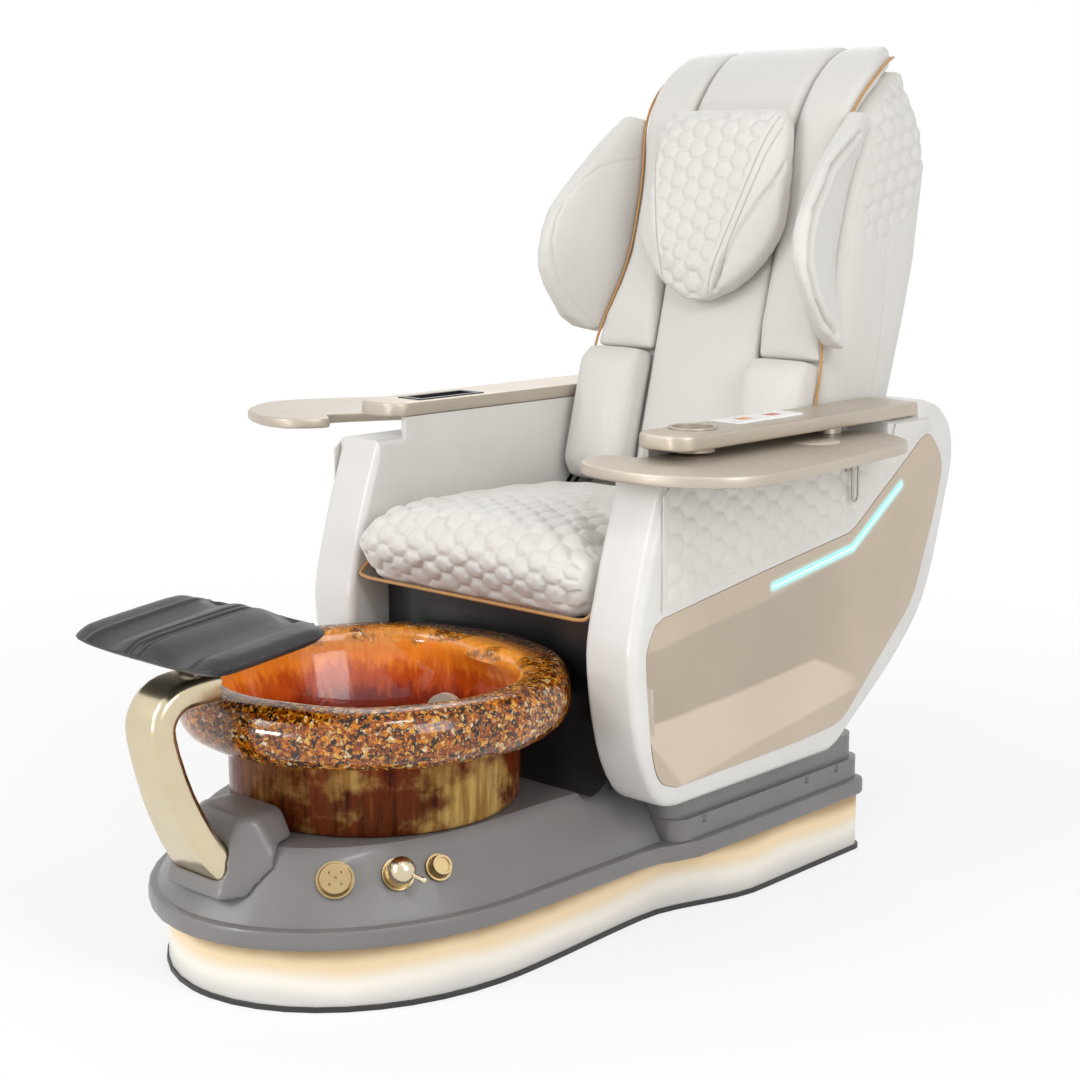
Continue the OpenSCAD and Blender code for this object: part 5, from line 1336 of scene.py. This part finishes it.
@dataclass
class SideArms:
    """Casings, panels, lamps, armrests, trays and quilted side pads."""

    pad_x: float = 0.4003
    pad_edge: float = 0.0035
    cell: float = 0.044
    depth: float = 0.0064
    outline: Tuple[Point2, ...] = (
        (0.006, 0.576), (0.289, 0.613), (0.540, 0.645), (0.560, 0.654), (0.742, 0.776), (0.768, 0.794),
        (0.786, 0.802), (0.812, 0.802), (0.800, 0.823), (0.682, 0.823), (0.664, 0.783), (0.026, 0.783),
        (0.008, 0.769))
    panel_t: float = 0.008
    sink: float = 0.010
    quilt_step: float = 0.0042
    panel_step: float = 0.0045
    recess: float = 0.015
    band: Tuple[Point2, ...] = ((-0.010, 0.512), (0.081, 0.525), (0.317, 0.5525), (0.560, 0.602), (0.80, 0.66))
    ledge: Tuple[Point2, ...] = ((-0.0115, 0.380), (0.217, 0.391), (0.463, 0.410), (0.502, 0.395), (0.577, 0.360))
    shelf: Tuple[Point2, ...] = ((-0.0115, 0.355), (0.069, 0.267), (0.272, 0.2986), (0.562, 0.336))
    disc: Tuple[float, float, float] = (0.398, 0.430, 0.815)
    disc_r: float = 0.045
    parts: Parts = (
        ("arm_right", Finish.CASING), ("arm_left", Finish.CASING), ("light_strips", Finish.LIGHT),
        ("rail_right", Finish.CHAMPAGNE), ("rail_left", Finish.CHAMPAGNE), ("cup_holder", Finish.CHAMPAGNE),
        ("phone_slot", Finish.BLACK_GLOSS), ("keypad", Finish.KEYPAD), ("recline_key", Finish.ORANGE_KEY),
        ("slide_key", Finish.RED_KEY), ("bag_hooks", Finish.HOOK), ("tray_pivots", Finish.HOOK),
        ("tray_right", Finish.CHAMPAGNE), ("tray_left", Finish.CHAMPAGNE))

    def side_pad(self) -> bpy.types.Object:
        """Returns the quilted pad of the right arm."""
        def lift(u: np.ndarray, v: np.ndarray, away: np.ndarray) -> np.ndarray:
            """Returns the height of the pad's face above its edge."""
            crown = 0.0030 * smooth_step(0.0, 0.016, away)
            fade = smooth_step(0.004, 0.016, away) * (1 - 0.75 * smooth_step(0.50, 0.68, u))
            return crown + fade * quilted(honeycomb(u, v, self.cell), self.cell, self.depth * 0.8, 0.12)

        def place(u: float, v: float, h: float) -> Sequence[float]:
            """Returns the shared-frame place of a point of the pad."""
            return (self.pad_x + h, u, v)

        return plate("side_quilt_right", self.outline, self.quilt_step, place, lift, self.pad_edge)

    def panel_outline(self) -> Tuple[float, List[Point2]]:
        """Returns the height of the right panel's back and its outline."""
        source = cad_copy("side_panels", "panel_source")
        shape = bmesh.new()
        shape.from_mesh(source.data)
        back = min(v.co.x for v in shape.verts if v.co.x > 0)
        flat = [f for f in shape.faces if all(abs(v.co.x - back) < 1e-4 for v in f.verts)]
        inner = set(flat)
        following = {}
        for face in flat:
            for loop in face.loops:
                if not any(other in inner for other in loop.edge.link_faces if other != face):
                    following[loop.vert] = loop.link_loop_next.vert
        first = vert = next(iter(following))
        outline = [(vert.co.y, vert.co.z)]
        while following[vert] != first:
            vert = following[vert]
            outline.append((vert.co.y, vert.co.z))
        shape.free()
        bpy.data.objects.remove(source)
        return back, outline

    def side_panel(self) -> bpy.types.Object:
        """Returns the right arm's panel with its sloping recess and ledge."""
        back, outline = self.panel_outline()

        def line(u: np.ndarray, points: Sequence[Point2]) -> np.ndarray:
            """Returns the height of a facet's border at each u."""
            return np.interp(u, [p[0] for p in points], [p[1] for p in points])

        def lift(u: np.ndarray, v: np.ndarray, away: np.ndarray) -> np.ndarray:
            """Returns the height of the panel's face above its edge."""
            top, ledge, low = (line(u, points) for points in (self.band, self.ledge, self.shelf))
            slope = np.where(v > ledge, (top - v) / (top - ledge), (v - low) / (ledge - low))
            deep = self.recess * np.clip(slope, 0, 1) * (1 - smooth_step(0.46, 0.60, u))
            deep = np.minimum(deep, 0.0070 + 0.9 * np.maximum(0, away - 0.018))
            lamp = line_distance(u, v, LAMP_PATH)
            return -deep * smooth_step(0.006, 0.020, lamp) - 0.0008

        def place(u: float, v: float, h: float) -> Sequence[float]:
            """Returns the shared-frame place of a point of the panel."""
            return (back - self.sink + h, u, v)

        return plate("side_panel_right", outline, self.panel_step, place, lift, self.panel_t + self.sink)

    def inlay(self) -> None:
        """Builds the pale disc that lies in the right tray's top."""
        x, y, z = self.disc
        rings = [[Vector((x + r * math.cos(a), y + r * math.sin(a), z + h))
                  for a in (2 * math.pi * k / 48 for k in range(48))]
                 for r, h in ((0.0005, -0.001), (self.disc_r, -0.001), (self.disc_r, 0.0002),
                              (self.disc_r - 0.0006, 0.0006), (0.0005, 0.0006))]
        dress(smooth_shading(lathe("tray_inlay", rings), 40), Finish.INLAY, "tray_right")

    def build(self) -> None:
        """Builds each part of the arms."""
        build_parts(self.parts, 36)
        right = self.side_pad()
        left = mirrored(right, "side_quilt_left")
        for pad in (right, left):
            smooth_shading(dress(pad, Finish.QUILT, "quilt_pads"), 60)
            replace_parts(pad, "quilt_pads")
        right = self.side_panel()
        for panel in (right, mirrored(right, "side_panel_left")):
            smooth_shading(dress(panel, Finish.PANEL, "side_panels"), 30)
            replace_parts(panel, "side_panels")
        self.inlay()


@dataclass
class Seat:
    """Quilted seat cushion with its piping."""

    bottom: float = 0.545
    cell: float = 0.043
    depth: float = 0.0062
    smooth_from: float = 0.13
    lower_edge: float = 0.046
    swelling: float = 0.009
    half_width: float = 0.279
    profile: Tuple[Point2, ...] = (
        (0.010, 0.0), (-0.010, 0.003), (-0.042, 0.018), (-0.068, 0.044), (-0.077, 0.072), (-0.066, 0.098),
        (-0.034, 0.114), (0.030, 0.124), (0.140, 0.134), (0.260, 0.134), (0.380, 0.124), (0.480, 0.116),
        (0.520, 0.112), (0.530, 0.100))

    def along(self, places: np.ndarray) -> np.ndarray:
        """Returns how far each place lies along the cushion's section, from its lower front edge."""
        best = np.full(len(places), 1e9)
        found = np.zeros(len(places))
        gone = 0.0
        y, z = places[:, 1], places[:, 2] - self.bottom
        for (a, b), (c, d) in zip(self.profile, self.profile[1:]):
            length = math.hypot(c - a, d - b)
            t = np.clip(((y - a) * (c - a) + (z - b) * (d - b)) / length ** 2, 0, 1)
            far = np.hypot(y - a - t * (c - a), z - b - t * (d - b))
            closer = far < best
            best = np.where(closer, far, best)
            found = np.where(closer, gone + t * length, found)
            gone += length
        return found

    def build(self) -> None:
        """Builds the cushion and the piping."""
        cover = voxel_copy("seat_cushion", "seat_cover", 0.0062, 11)
        places = coords(cover)
        high = np.clip(places[:, 2] - self.bottom, 0, self.lower_edge)
        places[:, 2] += high * (smooth_step(0, self.lower_edge, high) - 1)
        set_coords(cover, places)
        swell(cover, self.swelling)
        keep_within(cover, "seat_cushion", (0.003, 0.006, 0.004))
        subdivide(cover)
        places, facing = coords(cover), normals(cover)
        high = places[:, 2] - self.bottom
        mask = smooth_step(0.004, 0.016, high) * smooth_step(-0.85, -0.45, facing[:, 2])
        mask *= 1 - smooth_step(self.smooth_from - 0.05, self.smooth_from + 0.10, places[:, 1])
        mask *= 1 - smooth_step(0.55, 0.85, np.abs(facing[:, 0]))
        walls = honeycomb(places[:, 0], self.along(places), self.cell)
        seam = bell(places[:, 1] - self.smooth_from - 0.12, 0.004) * (facing[:, 2] > 0.5)
        push(cover, mask * quilted(walls, self.cell, self.depth, 0.13) - 0.0022 * seam)
        smooth_shading(dress(cover, Finish.LEATHER, "seat_cushion"), 75)
        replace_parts(cover, "seat_cushion")
        w = self.half_width / MM
        half = [(0, -41, 3), (w / 2, -41, 3), (w - 60, -41, 3), (w - 16, -41, 4), (w + 1, -40, 10),
                (w + 3.6, -22, 24), (w + 3.6, 14, 58)]
        run = [(-x, y, z) for x, y, z in reversed(half[1:])] + half
        path = [Vector((x * MM, y * MM, self.bottom + z * MM)) for x, y, z in spline(run, 6)]
        cord = tube("seat_welt", path, 0.0032, 12)
        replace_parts(dress(cord, Finish.PIPING, "seat_piping"), "seat_piping")


@dataclass
class Backrest:
    """Shell, belts, pads, headrest pillow and side wings of the backrest."""

    cell: float = 0.040
    stitch: float = 0.0022
    pillow_low: float = 0.377
    pillow_high: float = 0.356
    sideways: float = 0.001
    wing_seam: Tuple[Point2, ...] = (
        (-0.005, 0.656), (-0.044, 0.644), (-0.087, 0.621), (-0.124, 0.582), (-0.148, 0.540), (-0.161, 0.496),
        (-0.160, 0.456), (-0.144, 0.419), (-0.1155, 0.384), (-0.074, 0.352), (-0.030, 0.330), (0.010, 0.307))
    wing_fold: Tuple[Point2, ...] = (
        (-0.020, 0.700), (-0.091, 0.624), (-0.109, 0.583), (-0.141, 0.530), (-0.148, 0.474), (-0.143, 0.421),
        (-0.115, 0.375), (-0.077, 0.3435), (-0.030, 0.325))
    shell_seam: Tuple[Point2, ...] = (
        (0.262, 0.720), (0.237, 0.641), (0.1965, 0.585), (0.157, 0.531), (0.165, 0.480), (0.179, 0.429),
        (0.190, 0.333), (0.190, 0.150))
    upper_seam: Tuple[Point2, ...] = ((0.178, 0.86), (0.105, 0.80), (0.055, 0.70), (0.048, 0.56))
    gusset: Tuple[Point2, ...] = ((0.166, 0.640), (0.148, 0.589), (0.098, 0.504), (0.060, 0.410), (0.050, 0.385))

    pillow_seams: Tuple[Tuple[str, Tuple[Point2, ...]], ...] = (
        ("pillow_seam_left", ((-0.163, 0.727), (-0.116, 0.55), (-0.072, 0.385))),
        ("pillow_seam_right", ((0.136, 0.727), (0.085, 0.55), (0.036, 0.385))),
        ("pillow_seam_outer", ((0.152, 0.722), (0.101, 0.55), (0.052, 0.385))))
    parts: Parts = (("back_frame", Finish.FRAME_PAINT), ("massage_carriage", Finish.ALLOY),
                    ("massage_rollers", Finish.FEET))

    def seam(self, name: str, cover: bpy.types.Object, line: Sequence[Point2], node: str,
             radius: float = 0.0011) -> None:
        """Lays a stitched seam on a cover, seen from the front.

        Args:
            name: Name of the seam.
            cover: The cover that it lies on.
            line: Points of the seam, as x and height in the backrest's frame.
            node: The frame node that the cover stands for.
            radius: Radius of the thread.
        """
        toward = -BACK.front()
        spots = [BACK.out(p[0], -0.30, p[1]) for p in spline([(x, h, 0) for x, h in line], 10)]
        path = lay_on(cover, spots, toward, -radius * 0.15)
        if len(path) > 3:
            thread = tube(name, path, radius, 6)
            dress(thread, Finish.SEAM, node)

    def cover(self, node: str, name: str, voxel: float, rounds: int, cap: float, fill: float,
              shape: Optional[Callable[[np.ndarray, np.ndarray], np.ndarray]] = None,
              finish: Finish = Finish.LEATHER) -> bpy.types.Object:
        """Makes a padded cover from its frame node.

        Args:
            node: The frame node.
            name: Name of the cover.
            voxel: Mesh size in metres.
            rounds: Smoothing passes.
            cap: How far air may swell it, or 0 for none.
            fill: How full the pad is; not used.
            shape: Relief from places in the backrest's frame and normals there.
            finish: The cover's finish.

        Returns:
            The cover.
        """
        obj = voxel_copy(node, name, voxel, rounds)
        if cap:
            before = coords(obj)
            swell(obj, cap)
            after = BACK.into(coords(obj)) - BACK.into(before)
            after[:, 0] = np.clip(after[:, 0], -self.sideways, self.sideways)
            after[:, 1] = np.clip(after[:, 1], -cap, 0.0)
            after[:, 2] = np.clip(after[:, 2], -self.sideways, self.sideways)
            local = BACK.into(before) + after
            set_coords(obj, np.array([BACK.out(*p) for p in local]))
        subdivide(obj)
        if shape is not None:
            places = BACK.into(coords(obj))
            facing = normals(obj)
            c, s = math.cos(BACK.tilt), math.sin(BACK.tilt)
            turned = np.stack([facing[:, 0], facing[:, 1] * c - facing[:, 2] * s,
                               facing[:, 1] * s + facing[:, 2] * c], 1)
            push(obj, shape(places, turned))
        smooth_shading(dress(obj, finish, node), 75)
        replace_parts(obj, node)
        return obj

    def pillow_shape(self, p: np.ndarray, n: np.ndarray) -> np.ndarray:
        """Relief of the pillow: quilted middle between two sewn bands."""
        front = smooth_step(-0.2, -0.6, n[:, 1])
        t = (p[:, 2] - self.pillow_low) / self.pillow_high
        left = -0.070 - 0.095 * t
        right = 0.034 + 0.104 * t
        middle = smooth_step(0.002, 0.010, p[:, 0] - left) * smooth_step(0.002, 0.010, right - 0.008 - p[:, 0])
        quilt = quilted(honeycomb(p[:, 0], p[:, 2], self.cell), self.cell, 0.0048, 0.12)
        lines = sum(bell(p[:, 0] - line, self.stitch) for line in (left, right, right + 0.016))
        band = bell(p[:, 0] - right - 0.008, 0.006)
        dart = line_distance(p[:, 0], p[:, 2], self.gusset)
        return front * (middle * quilt - self.stitch * lines + 0.0014 * band - 0.008 * bell(dart, 0.004))

    def wing_shape(self, p: np.ndarray, n: np.ndarray) -> np.ndarray:
        """Relief of the wings: a fine seam inside and a deep fold between two lobes outside."""
        outer = smooth_step(-0.05, 0.35, n[:, 0] * np.sign(p[:, 0]))
        fine = line_distance(p[:, 1], p[:, 2], self.wing_seam)
        fold = line_distance(p[:, 1], p[:, 2], self.wing_fold)
        lobes = 0.0040 * bell(fold - 0.013, 0.007) - 0.0115 * bell(fold, 0.0042)
        return (1 - outer) * -0.0024 * bell(fine, self.stitch) + outer * lobes

    def shell_shape(self, p: np.ndarray, n: np.ndarray) -> np.ndarray:
        """Relief of the shell's sides: quilting that fades downwards and two fine seams."""
        side = smooth_step(0.55, 0.85, np.abs(n[:, 0]))
        line = np.array(self.shell_seam)[::-1]
        reach = np.interp(p[:, 2], line[:, 1], line[:, 0])
        zone = smooth_step(0.49, 0.58, p[:, 2]) * smooth_step(0.055, 0.075, p[:, 1])
        zone *= 1 - smooth_step(reach - 0.014, reach - 0.003, p[:, 1])
        quilt = quilted(honeycomb(p[:, 1], p[:, 2], self.cell), self.cell, 0.006, 0.13)
        fine = line_distance(p[:, 1], p[:, 2], self.upper_seam)
        low = line_distance(p[:, 1], p[:, 2], self.shell_seam)
        seams = self.stitch * bell(fine, self.stitch)
        return side * (zone * quilt - seams - self.stitch * bell(low, self.stitch))

    def piping(self) -> None:
        """Builds the tan piping along both edges of the padding."""
        copy = cad_copy("back_piping", "back_welt")
        subdivide(copy, 2)
        set_coords(copy, relax(coords(copy), neighbours(copy), 1, 0.3))
        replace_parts(smooth_shading(dress(copy, Finish.PIPING, "back_piping"), 80), "back_piping")

    def build(self) -> None:
        """Builds every part of the backrest."""
        self.cover("back_shell", "back_shell_cover", 0.0062, 4, 0.0, 0.9, self.shell_shape)
        self.cover("back_center", "centre_pad", 0.006, 8, 0.0, 0.8)
        self.cover("back_strips", "side_belts", 0.0055, 6, 0.004, 0.85)
        self.cover("lumbar_pads", "lumbar_cushions", 0.0055, 8, 0.006, 0.85)
        self.cover("back_hood", "top_hood", 0.0055, 6, 0.005, 0.85)
        pillow = self.cover("pillow", "head_pillow", 0.0050, 8, 0.007, 0.9, self.pillow_shape)
        self.cover("wings", "side_wings", 0.0045, 6, 0.0, 0.9, self.wing_shape)
        self.piping()
        for name, line in self.pillow_seams:
            self.seam(name, pillow, line, "pillow")
        build_parts(self.parts)


@dataclass
class Studio:
    """Camera, floor, lamps and plain background."""

    eye: Vector = field(default_factory=lambda: Vector((2.4363, -2.4670, 1.2950)))
    tilt: float = 79.392
    turn: float = 43.0
    lens: float = 66.754
    ambient: float = 0.66
    sensor: float = 36.0
    floor_half: float = 14.0
    lamps: Tuple[Tuple[str, Place, Place, Point2, float], ...] = (
        ("key", (-1.3, -3.9, 2.7), (0, 0, 0.7), (2.2, 2.2), 68),
        ("side", (3.6, -0.6, 2.2), (0.2, 0, 0.7), (2.0, 2.0), 50),
        ("back", (-2.2, 2.8, 3.0), (0, 0.3, 0.9), (2.0, 2.0), 24),
        ("rim_front", (-0.17, -2.77, 0.55), (0.095, -0.58, 0.43), (0.42, 0.24), 10),
        ("rim_side", (1.18, -0.86, 2.19), (0.27, -0.446, 0.46), (0.40, 0.16), 7))

    def camera(self) -> None:
        """Makes the camera."""
        data = bpy.data.cameras.new("camera")
        data.lens = self.lens
        data.sensor_width = self.sensor
        cam = link(bpy.data.objects.new("camera", data))
        cam.location = self.eye
        cam.rotation_euler = (math.radians(self.tilt), 0, math.radians(self.turn))
        bpy.context.scene.camera = cam

    def lamp(self, name: str, place: Sequence[float], target: Sequence[float], size: Point2, power: float) -> None:
        """Makes a soft lamp.

        Args:
            name: Name of the lamp.
            place: Where it stands.
            target: What it points at.
            size: Width and height of its face.
            power: Power in watts.
        """
        data = bpy.data.lights.new(name, "AREA")
        data.shape = "RECTANGLE"
        data.size, data.size_y = size
        data.energy = power
        obj = link(bpy.data.objects.new(name, data))
        obj.location = place
        obj.rotation_euler = (Vector(target) - Vector(place)).to_track_quat("-Z", "Y").to_euler()
        obj.visible_camera = False

    def white_for_camera(self, g: Graph) -> Value:
        """Returns 1 for camera, glossy and transmitted rays and 0 for the rest."""
        path = g.outs(g.node("ShaderNodeLightPath"))
        seen = g.math("MAXIMUM", path["Is Camera Ray"], path["Is Glossy Ray"])
        return g.math("MAXIMUM", seen, path["Is Transmission Ray"])

    def floor(self) -> None:
        """Makes the plain pale floor."""
        half = self.floor_half
        corners = [(-half, -half, 0), (half, -half, 0), (half, half, 0), (-half, half, 0)]
        ground = mesh_object("studio_floor", corners, [(0, 1, 2, 3)])
        ground.location.z = -0.0005
        mat = bpy.data.materials.new("studio_floor")
        mat.use_nodes = True
        mat.node_tree.nodes.clear()
        g = Graph(mat.node_tree)
        paint = g.out("ShaderNodeBsdfDiffuse", {"Color": (0.86, 0.86, 0.86)})
        glow = g.out("ShaderNodeEmission", {"Color": (1, 1, 1), "Strength": 1.0})
        place = g.out("ShaderNodeNewGeometry", output="Position")
        far = g.out("ShaderNodeVectorMath", {0: place}, "Value", operation="LENGTH")
        share = self.white_for_camera(g) * g.span(far, 0.8, 3.2, 0.72, 1.0)
        both = g.out("ShaderNodeMixShader", {0: share, 1: paint, 2: glow})
        g.node("ShaderNodeOutputMaterial", {"Surface": both})
        ground.data.materials.append(mat)

    def world(self) -> None:
        """Makes the plain white surroundings."""
        world = bpy.data.worlds.new("studio")
        bpy.context.scene.world = world
        world.use_nodes = True
        world.node_tree.nodes.clear()
        g = Graph(world.node_tree)
        seen = self.white_for_camera(g)
        soft = g.out("ShaderNodeBackground", {"Color": (1, 1, 1), "Strength": self.ambient})
        plain = g.out("ShaderNodeBackground", {"Color": (1, 1, 1), "Strength": 1.0})
        g.node("ShaderNodeOutputWorld", {"Surface": g.out("ShaderNodeMixShader", {0: seen, 1: soft, 2: plain})})

    def build(self) -> None:
        """Builds the studio."""
        bpy.context.scene.view_settings.view_transform = "Standard"
        self.camera()
        self.floor()
        self.world()
        for lamp in self.lamps:
            self.lamp(*lamp)


def main() -> None:
    """Builds the whole chair and the studio."""
    logging.basicConfig(level=logging.INFO, format="%(name)s: %(message)s")
    FRAME.update(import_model())
    Studio().build()
    make_materials()
    for part in (Base(), Footrest(), FootBowl(), Taps(), SideArms(), Seat(), Backrest()):
        LOG.info("building %s", type(part).__name__)
        part.build()


if __name__ == "__main__":
    main()
